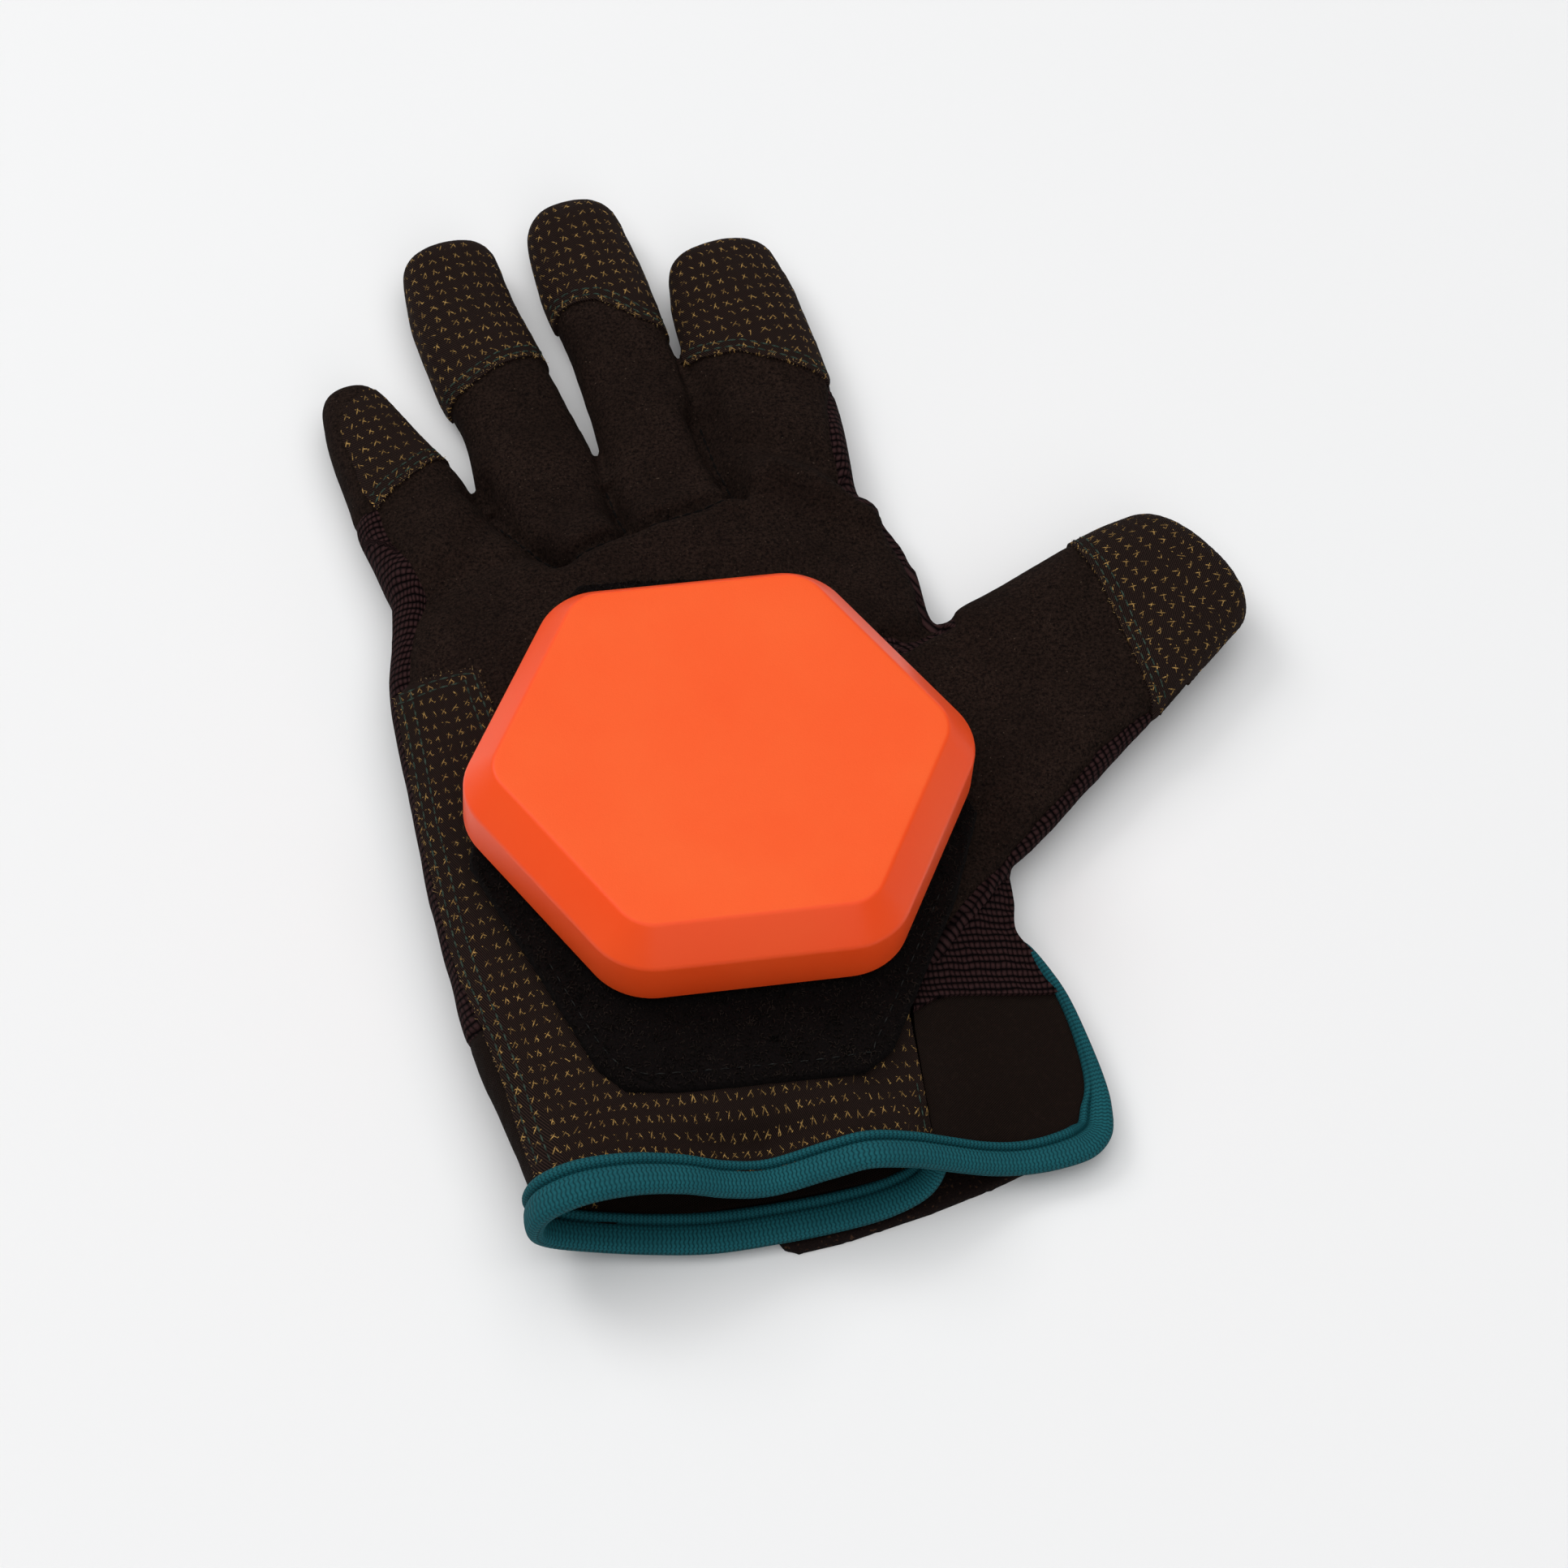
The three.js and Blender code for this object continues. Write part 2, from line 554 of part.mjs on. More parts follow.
// Colour, roughness and metalness of each cloth, and of the puck
const finish = (color, roughness) =>
  new THREE.MeshStandardMaterial({ color, roughness, metalness: 0 });
const SUEDE = finish(0x1e1814, 0.95);
const ARAMID = finish(0x2b211c, 0.85);
const KNIT = finish(0x1e1212, 0.9);
const STRETCH = finish(0x17120f, 0.9);
const LOOP = finish(0x0d0908, 1);
const TEAL = finish(0x18555c, 0.7);
const ORANGE = finish(0xfd6634, 0.45);
const FINISHES = {
  palm_panel: SUEDE,
  ring_front: SUEDE,
  middle_front: SUEDE,
  heel_panel: ARAMID,
  closure_strap: ARAMID,
  thumb_gusset: KNIT,
  hand_back: KNIT,
  thumb_back: KNIT,
  wrist_panel: STRETCH,
  wrist_back: STRETCH,
  loop_patch: LOOP,
  hook_pad: LOOP,
  cuff_binding: TEAL,
  puck: ORANGE,
};

const glove = new THREE.Group();
for (const [name, solid] of Object.entries(solids)) {
  const { vertProperties, triVerts } = solid.getMesh();
  const geometry = new THREE.BufferGeometry();
  geometry.setAttribute("position", new THREE.BufferAttribute(vertProperties, 3));
  geometry.setIndex(new THREE.BufferAttribute(triVerts, 1));
  geometry.computeVertexNormals();
  const backTip = name.endsWith("_back") && name.includes("tip");
  const mesh = new THREE.Mesh(geometry, FINISHES[name] ?? (backTip ? SUEDE : ARAMID));
  mesh.name = name;
  glove.add(mesh);
}

export default glove;
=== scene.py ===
# A longboard slide glove for the right hand, lying palm up with its puck on. Metres in Blender;
# the tables are in millimetres, with +Y from the wrist to the fingertips and +Z up out of the palm.
import math
import random

import bpy
import numpy as np
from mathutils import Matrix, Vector, kdtree, noise
from mathutils.bvhtree import BVHTree


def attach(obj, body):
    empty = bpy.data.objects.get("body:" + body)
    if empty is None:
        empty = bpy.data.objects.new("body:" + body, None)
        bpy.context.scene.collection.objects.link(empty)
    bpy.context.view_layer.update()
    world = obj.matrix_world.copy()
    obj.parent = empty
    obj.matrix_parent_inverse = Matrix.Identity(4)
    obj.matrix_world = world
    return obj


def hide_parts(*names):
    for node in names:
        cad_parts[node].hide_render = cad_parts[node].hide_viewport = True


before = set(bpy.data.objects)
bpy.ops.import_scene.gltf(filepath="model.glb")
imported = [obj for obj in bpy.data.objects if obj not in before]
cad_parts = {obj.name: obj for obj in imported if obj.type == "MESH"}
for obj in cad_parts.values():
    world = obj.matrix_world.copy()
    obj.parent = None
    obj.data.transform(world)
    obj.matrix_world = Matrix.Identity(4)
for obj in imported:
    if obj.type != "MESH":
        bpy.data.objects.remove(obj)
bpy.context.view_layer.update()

# The camera looks down on the palm from the wrist side, a little from the thumb's side, through a
# long lens that keeps the fingers almost parallel.
camera = bpy.data.objects.new("camera", bpy.data.cameras.new("camera"))
camera.data.lens = 97.2
camera.data.sensor_width = 36
camera.location = (-0.0661, -0.4248, 0.6881)
camera.rotation_euler = (math.radians(33), 0, math.radians(-10.5))
bpy.context.scene.collection.objects.link(camera)
bpy.context.scene.camera = camera

# The glove's form: a soft flattened hand and five digits, filled as a loosely stuffed glove is.
# Every sewn panel is cut from this one surface, so that neighbours meet along their seams.
CUFF_Y = -76
HAND_SQUARENESS = 2.7
DIGIT_SQUARENESS = 2.5
# y, left, right, height of the left and right edge, six crown heights from left to right, underside
HAND = [
    (-73, -46.6, 29, 13, 9.5, 26, 22.8, 16.6, 14.6, 17, 17.4, 2.5),
    (-60, -48.8, 36, 12, 9, 23.6, 22.6, 21.4, 20.6, 19.9, 17.4, 2.5),
    (-45, -52.1, 45, 11, 8.5, 22.8, 21.9, 21, 20.2, 19.2, 17.2, 2.3),
    (-30, -54.3, 51.5, 10, 8, 22.3, 21.4, 20.4, 19.5, 18.6, 17.2, -0.5),
    (-5, -56.2, 52.5, 9.5, 8, 21.6, 20.6, 19.7, 18.7, 17.8, 16.5, -0.8),
    (20, -57.1, 51.5, 9, 8, 20.6, 19.9, 18.9, 18, 17, 15.8, -0.8),
    (43, -57.3, 50, 9, 8, 19.2, 19, 18.2, 17.2, 16.3, 15.1, -0.8),
    (56, -55, 49.2, 9, 8, 17.3, 17.8, 17.6, 16.9, 16.2, 15, -0.6),
    (68, -53.5, 44.6, 8.5, 8, 15.3, 16.2, 16.4, 16.4, 15.9, 14.6, -0.5),
    (80, -51, 40, 7.5, 7.5, 11.5, 13, 13.3, 13.4, 13.2, 12.3, 0.4),
]
# Centre line x and y, width across, lowest and highest point, and the reach of the rounded end
DIGITS = {
    "pinky": (6.8, [(-40, 58, 24, 1, 13), (-43, 72, 25.5, 0, 14.5), (-46.4, 86, 24.8, -0.5, 14.5),
                    (-50.5, 98, 20.2, -0.4, 14), (-53.3, 107, 16.7, -0.2, 13.6),
                     (-55, 114, 13.8, 0.2, 12.4)]),
    "ring": (6.2, [(-16, 60, 24, 1, 13), (-18.5, 78, 26, -0.2, 14), (-21.1, 92, 24.6, -0.5, 14),
                   (-23.2, 106, 22.9, -0.5, 14), (-26.8, 120, 22.6, -0.4, 14), (-29.4, 133, 21.5, -0.2, 13.5),
                   (-30.9, 147.5, 19.2, 0.3, 12.5)]),
    "middle": (7.8, [(7, 60, 24, 1, 13), (5.5, 82, 24.5, -0.2, 14), (4.1, 96, 22.8, -0.5, 14),
                     (1.9, 110, 21.6, -0.5, 14), (-0.3, 126, 20.9, -0.4, 14), (-2.4, 138, 21.4, -0.2, 13.5),
                     (-3.8, 152.5, 19.4, 0.3, 12.5)]),
    "index": (6.6, [(29.5, 58, 25, 1, 13), (29.5, 77, 24.5, -0.2, 14.5), (28.7, 92, 26.6, -0.5, 14.5),
                    (27.5, 106, 26.8, -0.5, 14.5), (26.5, 118, 26, -0.4, 14), (25.5, 130, 24.6, -0.2, 13.5),
                    (25.1, 137.5, 21.8, 0.3, 12.5)]),
    "thumb": (7.4, [(30, 0, 54, 2, 13), (46, 10, 52, 0.5, 15.5), (62.2, 19.7, 46.6, 0.8, 16.5),
                    (80.2, 30.5, 40.4, 1.6, 17), (91.7, 37.7, 36.6, 2.4, 17),
                     (100.2, 42.4, 32.4, 3.2, 16.5)]),
}
PALM_NORMAL = np.array([0.0622606, 0.0322642, 0.9975382])  # the palm leans 4 degrees
PALM_HEIGHT = 18.5
LOOP_PATCH = [(-48, -7), (-38, -35), (-31.5, -54), (-27, -59.5), (-18, -61), (16, -62), (22, -58),
              (40, -27.5), (48, -9), (40, 12), (20, 48), (14, 52), (-7, 54.6), (-18, 54.8), (-25, 48),
              (-45, 4)]
FORM_GRAIN = 0.95  # edge length of the form's mesh


def between(rows, t):
    """A smooth curve through the rows, for t from 0 to 1."""
    rows = np.asarray(rows, float)
    place = min(max(t, 0), 1) * (len(rows) - 1)
    start = min(int(place), len(rows) - 1)
    w = place - start
    a, b, c, d = (rows[min(max(start + k, 0), len(rows) - 1)] for k in (-1, 0, 1, 2))
    return (2 * b + (c - a) * w + (2 * a - 5 * b + 4 * c - d) * w**2 + (3 * b - a - 3 * c + d) * w**3) / 2


def oval(points, squareness):
    """Across and up, from -1 to 1, of a squarish oval."""
    angle = np.linspace(0, 2 * math.pi, points, endpoint=False)
    across, up = np.cos(angle), np.sin(angle)
    return (np.sign(across) * np.abs(across) ** (2 / squareness),
            np.sign(up) * np.abs(up) ** (2 / squareness))


def loft(rings):
    """Points and faces of a tube through rings of points, closed at both ends."""
    count, size = len(rings), len(rings[0])
    points = np.concatenate([np.asarray(ring, float) for ring in rings])
    faces = []
    for i in range(count - 1):
        for j in range(size):
            k = (j + 1) % size
            faces.append((i * size + j, i * size + k, (i + 1) * size + k, (i + 1) * size + j))
    faces.append(tuple(reversed(range(size))))
    faces.append(tuple((count - 1) * size + j for j in range(size)))
    return points, faces


def hand_tube():
    across, up = oval(96, HAND_SQUARENESS)
    rings = []
    for t in np.linspace(-0.09, 1.06, 64):
        row = between(HAND, t)
        y = row[0] + (min(t, 0) + max(t - 1, 0)) * 100
        crowns = np.array([row[5], *row[5:11], row[10]])
        crown = np.array([between(crowns, (a + 1) / 2) for a in across])
        edge = row[3] + (row[4] - row[3]) * (across + 1) / 2
        x = (row[1] + row[2]) / 2 + across * (row[2] - row[1]) / 2
        z = edge + up * np.where(up > 0, crown - edge, edge - row[11])
        rings.append(np.stack([x, np.full_like(x, y), z], 1))
    return loft(rings)


def digit_tube(tip, rows):
    across, up = oval(56, DIGIT_SQUARENESS)
    stations = [list(between(rows, t)) + [1.0] for t in np.linspace(0, 1, 34)]
    end, before = np.array(stations[-1]), np.array(stations[-2])
    ahead = (end - before)[:2] / np.linalg.norm((end - before)[:2])
    for angle in np.linspace(0, 1.5, 10)[1:]:
        shrink = math.cos(angle) ** 0.75
        x, y = end[:2] + ahead * tip * math.sin(angle)
        middle, half = (end[3] + end[4]) / 2, (end[4] - end[3]) / 2 * shrink
        stations.append([x, y, end[2] * shrink, middle - half, middle + half, shrink])
    stations = np.array(stations)
    rings = []
    for i, (x, y, width, low, high, _) in enumerate(stations):
        along = stations[min(i + 1, len(stations) - 1), :2] - stations[max(i - 1, 0), :2]
        along = along / np.linalg.norm(along)
        side = across * width / 2
        rings.append(np.stack([x + along[1] * side, y - along[0] * side,
                               (low + high) / 2 + up * (high - low) / 2], 1))
    return loft(rings)


def object_from(name, points, faces, scale=0.001):
    """A mesh object from points in millimetres."""
    mesh = bpy.data.meshes.new(name)
    mesh.from_pydata((np.asarray(points) * scale).tolist(), [], [tuple(int(i) for i in f) for f in faces])
    mesh.update()
    piece = bpy.data.objects.new(name, mesh)
    bpy.context.scene.collection.objects.link(piece)
    return piece


def triangles_of(piece):
    """Evaluated points and triangles of an object."""
    mesh = piece.evaluated_get(bpy.context.evaluated_depsgraph_get()).to_mesh()
    mesh.calc_loop_triangles()
    points = np.zeros(len(mesh.vertices) * 3)
    mesh.vertices.foreach_get("co", points)
    triangles = np.zeros(len(mesh.loop_triangles) * 3, int)
    mesh.loop_triangles.foreach_get("vertices", triangles)
    return points.reshape(-1, 3), triangles.reshape(-1, 3)


def edges_of(triangles):
    """Each edge once."""
    pairs = np.concatenate([triangles[:, [0, 1]], triangles[:, [1, 2]], triangles[:, [2, 0]]])
    return np.unique(np.sort(pairs, 1), axis=0)


def relaxed(points, triangles, rounds, weight=0.5):
    """Points drawn towards the mean of their neighbours, several times."""
    edges = edges_of(triangles)
    count = np.bincount(edges.ravel(), minlength=len(points))[:, None]
    for _ in range(rounds):
        total = np.zeros_like(points)
        for axis in range(3):
            total[:, axis] = np.bincount(edges[:, 0], points[edges[:, 1], axis], len(points))
            total[:, axis] += np.bincount(edges[:, 1], points[edges[:, 0], axis], len(points))
        points = points + (total / np.maximum(count, 1) - points) * weight
    return points


def normals_of(points, triangles):
    a, b, c = (points[triangles[:, k]] for k in range(3))
    facing = np.cross(b - a, c - a)
    total = np.zeros_like(points)
    for k in range(3):
        for axis in range(3):
            total[:, axis] += np.bincount(triangles[:, k], facing[:, axis], len(points))
    return total / np.maximum(np.linalg.norm(total, axis=1), 1e-9)[:, None]


def inside(outline, points):
    """How far points lie inside an outline seen from above; negative outside it."""
    a = np.asarray(outline, float)
    b = np.roll(a, -1, 0)
    p = points[:, None, :2]
    t = np.clip(((p - a) * (b - a)).sum(2) / ((b - a) ** 2).sum(1), 0, 1)
    gap = np.linalg.norm(p - a - t[..., None] * (b - a), axis=2).min(1)
    x, y = points[:, 0:1], points[:, 1:2]
    rise = np.where(b[:, 1] == a[:, 1], 1e-9, b[:, 1] - a[:, 1])
    crossings = ((a[:, 1] > y) != (b[:, 1] > y)) & (x < (b[:, 0] - a[:, 0]) * (y - a[:, 1]) / rise + a[:, 0])
    return np.where(crossings.sum(1) % 2 == 1, gap, -gap)


def from_line(line, points):
    """Distance in plan from a line through several points."""
    a, b = np.array(line[:-1], float), np.array(line[1:], float)
    p = points[:, None, :2]
    t = np.clip(((p - a) * (b - a)).sum(2) / ((b - a) ** 2).sum(1), 0, 1)
    return np.linalg.norm(p - a - t[..., None] * (b - a), axis=2).min(1)


def lumps(points, size, seed):
    """Smooth unevenness from about -1 to 1, of a given size."""
    shift = Vector((seed * 7.1, seed * 3.3, seed * 5.7))
    return np.array([noise.noise(Vector(p) / size + shift) for p in points])


def ease(value):
    value = np.clip(value, 0, 1)
    return value * value * (3 - 2 * value)


def palm_plane(points, lift=0.0):
    """Height of the leaning palm plane, moved up by lift, above each point."""
    base = PALM_NORMAL * lift + np.array([0, 0, PALM_HEIGHT])
    flat = (points[:, 0] - base[0]) * PALM_NORMAL[0] + (points[:, 1] - base[1]) * PALM_NORMAL[1]
    return base[2] - flat / PALM_NORMAL[2]


all_points, all_faces = [], []
for points, faces in [hand_tube(), *(digit_tube(*row) for row in DIGITS.values())]:
    start = sum(len(p) for p in all_points)
    all_points.append(points)
    all_faces += [tuple(i + start for i in face) for face in faces]
blank = object_from("blank", np.concatenate(all_points), all_faces, 1)
remesh = blank.modifiers.new("one skin", "REMESH")
remesh.mode = "VOXEL"
remesh.voxel_size = FORM_GRAIN
form, skin = triangles_of(blank)
bpy.data.objects.remove(blank)
form = relaxed(form, skin, 8)

# Lines seen from above: the valleys between the fingers, and the seam along the two middle fingers' foot
PINKY_RING = [(-33.5, 88), (-30.4, 79.6), (-25.9, 71.7), (-20.4, 65.2)]
RING_MIDDLE = [(-8.2, 94), (-8.1, 84), (-7.1, 77.3), (-5.5, 71.3)]
MIDDLE_INDEX = [(12.4, 112), (13.4, 98), (14.8, 85.6), (17.6, 75.6)]
FINGER_BASE = [(-20.4, 64.2), (-15.5, 65.8), (-5.1, 69.8), (6.7, 72.4), (18.5, 74.4)]
# Dents, folds and the pits where the fingers' sides tuck under: depth (negative is a ridge), width, line
FOLDS = [
    (2.6, 1.5, PINKY_RING),
    (2.0, 3.2, PINKY_RING),
    (2.6, 1.5, RING_MIDDLE[1:]),
    (2.0, 3.2, RING_MIDDLE[1:]),
    (2.8, 1.5, MIDDLE_INDEX[1:]),
    (2.0, 3.4, MIDDLE_INDEX[1:]),
    (2.0, 2.8, [(-24, 69), (-21.4, 66.6)]),
    (2.0, 2.8, [(-6.6, 75.4), (-5.7, 72.8)]),
    (2.2, 2.6, [(16.2, 80), (17.4, 77)]),
    (-0.9, 5.5, FINGER_BASE),
    (2.6, 1.7, FINGER_BASE),
    (1.5, 3.2, [(-47, 59.6), (-41.6, 63.6), (-34.8, 66.3), (-28.2, 67.1)]),
    (-1.0, 4.5, [(-50, 68), (-42, 74), (-36, 82)]),
    (-3.0, 3.2, [(15.3, 73.5), (19.7, 76), (25.4, 79.4), (32, 75.6), (37.6, 71.1), (41, 67.5)]),
    (2.6, 3.2, [(22, 88), (28, 84.8), (34, 80.6), (39.5, 75)]),
    (1.2, 5.0, [(20, 68), (30, 66), (38, 60)]),
    (0.9, 5.0, [(46, 60), (50, 46), (52, 30)]),
    (1.8, 2.6, [(40, 35.4), (44, 36.2), (49, 38)]),
    (-0.8, 6.0, [(56, 38), (66, 36), (76, 42)]),
    (0.7, 4.0, [(58, 14), (70, 20), (82, 28)]),
    (0.8, 3.6, [(-52, 82), (-46, 88), (-38, 90)]),
    (0.7, 4.0, [(-32, 100), (-24, 103), (-12, 100)]),
    (0.7, 4.0, [(-8, 108), (2, 112), (12, 108)]),
    (0.6, 4.0, [(16, 100), (28, 102), (40, 96)]),
]
FOLD_FLOOR = 6  # no dent reaches below this height
facing = normals_of(form, skin)
push = 0.5 * lumps(form, 17, 1) + 0.2 * lumps(form, 6.5, 2)
for depth, width, line in FOLDS:
    dent = depth * np.exp(-((from_line(line, form) / width) ** 2)) * ease(facing[:, 2] * 2)
    push -= np.minimum(dent, np.maximum(form[:, 2] - FOLD_FLOOR, 0) * 0.8)
form = form + facing * push[:, None]

# The palm's edge at the cuff waves as the binding on it does: x and height
CUFF_WAVE = [(-44.8, 20.4), (-38, 24), (-29, 23.9), (-20, 20.6), (-12, 16.2), (-4, 14.3), (7, 17.2),
             (14, 18.6), (22, 15.8), (28, 11.6)]
CUFF_TUCK = 0.6  # the cloth lies this much lower, inside the binding
WAVE_FROM, WAVE_REACH = -66, 6  # y where the wave starts, and how far on it is full
UPWARD = 0.2  # least upward part of a normal on the palm's side
wave = np.interp(form[:, 0], *zip(*CUFF_WAVE)) - CUFF_TUCK
at_cuff = ease((WAVE_FROM - form[:, 1]) / WAVE_REACH) * (facing[:, 2] > UPWARD)
form[:, 2] += (np.minimum(form[:, 2], wave) - form[:, 2]) * at_cuff

# The palm is pressed flat under the patch, and swells a little round it
PRESS_REACH = 5
PRESSED = 0.15
SWELL = 0.9
ON_FLOOR = 0.02
patch_depth = inside(LOOP_PATCH, form)
limit = palm_plane(form) + np.where(patch_depth > 0, -PRESSED, SWELL)
above = ease((patch_depth + PRESS_REACH) / PRESS_REACH) * (facing[:, 2] > UPWARD)
form[:, 2] += (np.minimum(form[:, 2], limit) - form[:, 2]) * above
form = relaxed(form, skin, 2)
form[:, 2] = np.maximum(form[:, 2], ON_FLOOR)

# The seams: lines where the cloth is cut to its panels. Each is the zero line of a distance.
SIDE_SEAM = [(-90, 13), (-54, 12.5), (-44, 7.5), (-38, 4), (32, 4), (36, 7.5), (42, 9.5), (140, 9.5)]
# Where the back's cloth comes round into view, seen from above: the little finger's side, the
# forefinger's, the thumb's, and a gathered bit in the crotch of the thumb
ULNAR_EDGE = [(-56.2, 39), (-55.8, 30.5), (-55.5, 18.8), (-55.3, 7.4), (-54.5, -4), (-53.6, -18.4),
              (-52.4, -27.7), (-50.7, -36.2), (-49.1, -45.3), (-47.9, -51.8), (-47, -59.5),
              (-46.1, -65.5), (-45.3, -71.5)]
OUTER_SIDES = [
    [(-65.5, 119), (-63.4, 113), (-61.8, 107.4), (-59.2, 99.2), (-56.4, 90.8), (-53.6, 84.1), (-53.4, 80.8),
     (-52.3, 76.1), (-49.4, 70.1), (-47.3, 63.8), (-47.1, 61.7), (-48.4, 58.8), (-50.2, 55.6),
     (-52.4, 48.8), (-53.3, 42.4), *ULNAR_EDGE, (-44.5, -90), (-90, -90), (-90, 119)],
    [(43.5, 104), (41, 99), (39.7, 94.8), (38.6, 88), (38.4, 82), (38.2, 73.8), (41, 69.6), (48, 66),
     (60, 80), (60, 104)],
    [(112, 33), (109.3, 29.5), (105, 25.2), (100, 21), (95.2, 17.2), (90.4, 13.4), (86, 9), (100, -10),
     (130, 20)],
    [(38.5, 36.9), (40.6, 37), (43.7, 35.9), (46.1, 36.6), (49, 38.3), (53, 41), (53, 36), (49.1, 37),
     (45.7, 34.4), (42.5, 32.5), (39.9, 33.5), (38, 34)],
]
WRIST_EDGE = [(28.5, -42), (26.6, -50), (25.8, -90)]
HEEL_TOP = [(-56.4, 41), (-53.8, 40.1), (-47.9, 40.6), (-43, 40.5), (-39.6, 39.2), (-38.8, 33.7), (-38, 28),
            (-37, 20)]
HEEL = [(-62, 41.5), *HEEL_TOP, (-20, -20), (20, -38), *WRIST_EDGE, (-62, -90)]
FINGER_PAIR = [*FINGER_BASE, *reversed(MIDDLE_INDEX), (12.3, 124), (12.3, 175), (-45, 175), (-37, 105),
               *PINKY_RING[:3]]
RING_SIDE = [(-4, 60), *reversed(RING_MIDDLE), (-12, 121), (-15.5, 131), (-17, 175), (-60, 175), (-60, 60)]
THUMB_BACK = [(53, -40), (47, -18), (40, 8), (42, 44), (60, 80), (130, 80), (130, -40)]
GUSSET = [(87.5, 11), (83.3, 8.4), (78.1, 5.2), (74.1, 2.4), (70.4, -1.3), (66.9, -4.7), (63, -7.7),
          (59, -11.1), (55, -14.4), (51, -18.3), (47, -21.6), (43, -25.4), (38.9, -29.7), (34.9, -34),
          *WRIST_EDGE, (130, -90), (130, 11)]
SLIT = [*WRIST_EDGE, (130, -90), (130, -18.5), (54, -18.5), (51.5, -20.7), (46.7, -26.1), (40.8, -31.7),
        (34.8, -38.3), (29.7, -42.6)]
GUSSET_LOW = 3
WRIST_BACK_TOP = -38
TIP_SEAMS = {
    "pinky": [(-62, 85.6), (-53.5, 85.2), (-51.6, 87), (-49, 89.2), (-45.2, 91.7), (-40.9, 95),
              (-38.5, 96.7)],
    "ring": [(-37, 110.2), (-31.8, 111.7), (-27.9, 113.8), (-24, 115.9), (-21, 116.9), (-17, 118.3),
             (-13, 118.6)],
    "middle": [(-13, 127.6), (-10.2, 129.6), (-6.6, 129.7), (-3, 129.2), (0.7, 126.6), (5, 123), (8, 122),
               (11, 121.6)],
    "index": [(13.2, 112.8), (18.1, 110.9), (23.6, 110.1), (28.4, 107.8), (33.1, 105.7), (37.9, 103.5),
              (41.5, 102)],
    "thumb": [(79.2, 53.5), (80.3, 47), (82, 40.5), (83.3, 34.1), (84.2, 28), (85.2, 20.5), (86.3, 14.8),
              (87, 9)],
}


def digit_lines():
    return {name: np.array([between(rows, t) for t in np.linspace(0, 1, 40)])
            for name, (tip, rows) in DIGITS.items()}


CENTRES = digit_lines()


def nearest_digit(points):
    """Number of the digit whose centre line is nearest, for its width."""
    reach = []
    for line in CENTRES.values():
        gaps = np.linalg.norm(points[:, None, :2] - line[None, :, :2], axis=2)
        reach.append((gaps - line[None, :, 2] / 2).min(1))
    return np.argmin(np.array(reach), 0)


def tip_field(name):
    """Inside the zone beyond a digit's tip seam, on that digit alone."""
    seam = np.array(TIP_SEAMS[name], float)
    across = (seam[-1] - seam[0]) / np.linalg.norm(seam[-1] - seam[0])
    ahead = np.array([-across[1], across[0]])
    left, right = seam[0] - across * 20, seam[-1] + across * 20
    outline = [left, *seam, right, right + ahead * 60, left + ahead * 60]
    number = list(DIGITS).index(name)
    return lambda points: np.where(nearest_digit(points) == number, inside(outline, points), -5)


def side_field(points):
    """Above nought on the palm's side of the seam between the glove's front and its back."""
    height = points[:, 2] - np.interp(points[:, 0], *zip(*SIDE_SEAM))
    for outline in OUTER_SIDES:
        height = np.minimum(height, -inside(outline, points))
    return height


ON_LINE = 0.12  # points this near a seam count as on it


def split(points, triangles, field):
    """The surface with its triangles split along the zero line of a field."""
    value = field(points)
    value[np.abs(value) < ON_LINE] = 0
    sign = np.sign(value)[triangles]
    crossed = (sign.max(1) > 0) & (sign.min(1) < 0)
    kept, cut = triangles[~crossed], triangles[crossed]
    sign = sign[crossed]
    lone = np.where((sign == 0).any(1), np.argmax(sign == 0, 1),
                    np.argmax(sign == -np.sign(sign.sum(1))[:, None], 1))
    turn = (lone[:, None] + np.arange(3)) % 3
    cut = np.take_along_axis(cut, turn, 1)
    on_line = np.take_along_axis(sign, turn, 1)[:, 0] == 0
    a, b, c = cut[:, 0], cut[:, 1], cut[:, 2]
    pairs = np.concatenate([np.stack([b, c], 1)[on_line], np.stack([a, b], 1)[~on_line],
                            np.stack([a, c], 1)[~on_line]])
    ends, where = np.unique(np.sort(pairs, 1), axis=0, return_inverse=True)
    where = where.ravel() + len(points)
    share = value[ends[:, 0]] / (value[ends[:, 0]] - value[ends[:, 1]])
    added = points[ends[:, 0]] + (points[ends[:, 1]] - points[ends[:, 0]]) * share[:, None]
    single, double = on_line.sum(), (~on_line).sum()
    p = where[:single]
    q, r = where[single:single + double], where[single + double:]
    a0, b0, c0 = a[on_line], b[on_line], c[on_line]
    a1, b1, c1 = a[~on_line], b[~on_line], c[~on_line]
    new = [np.stack(t, 1) for t in ((a0, b0, p), (a0, p, c0), (a1, q, r), (q, b1, c1), (q, c1, r))]
    return np.concatenate([points, added]), np.concatenate([kept, *new])


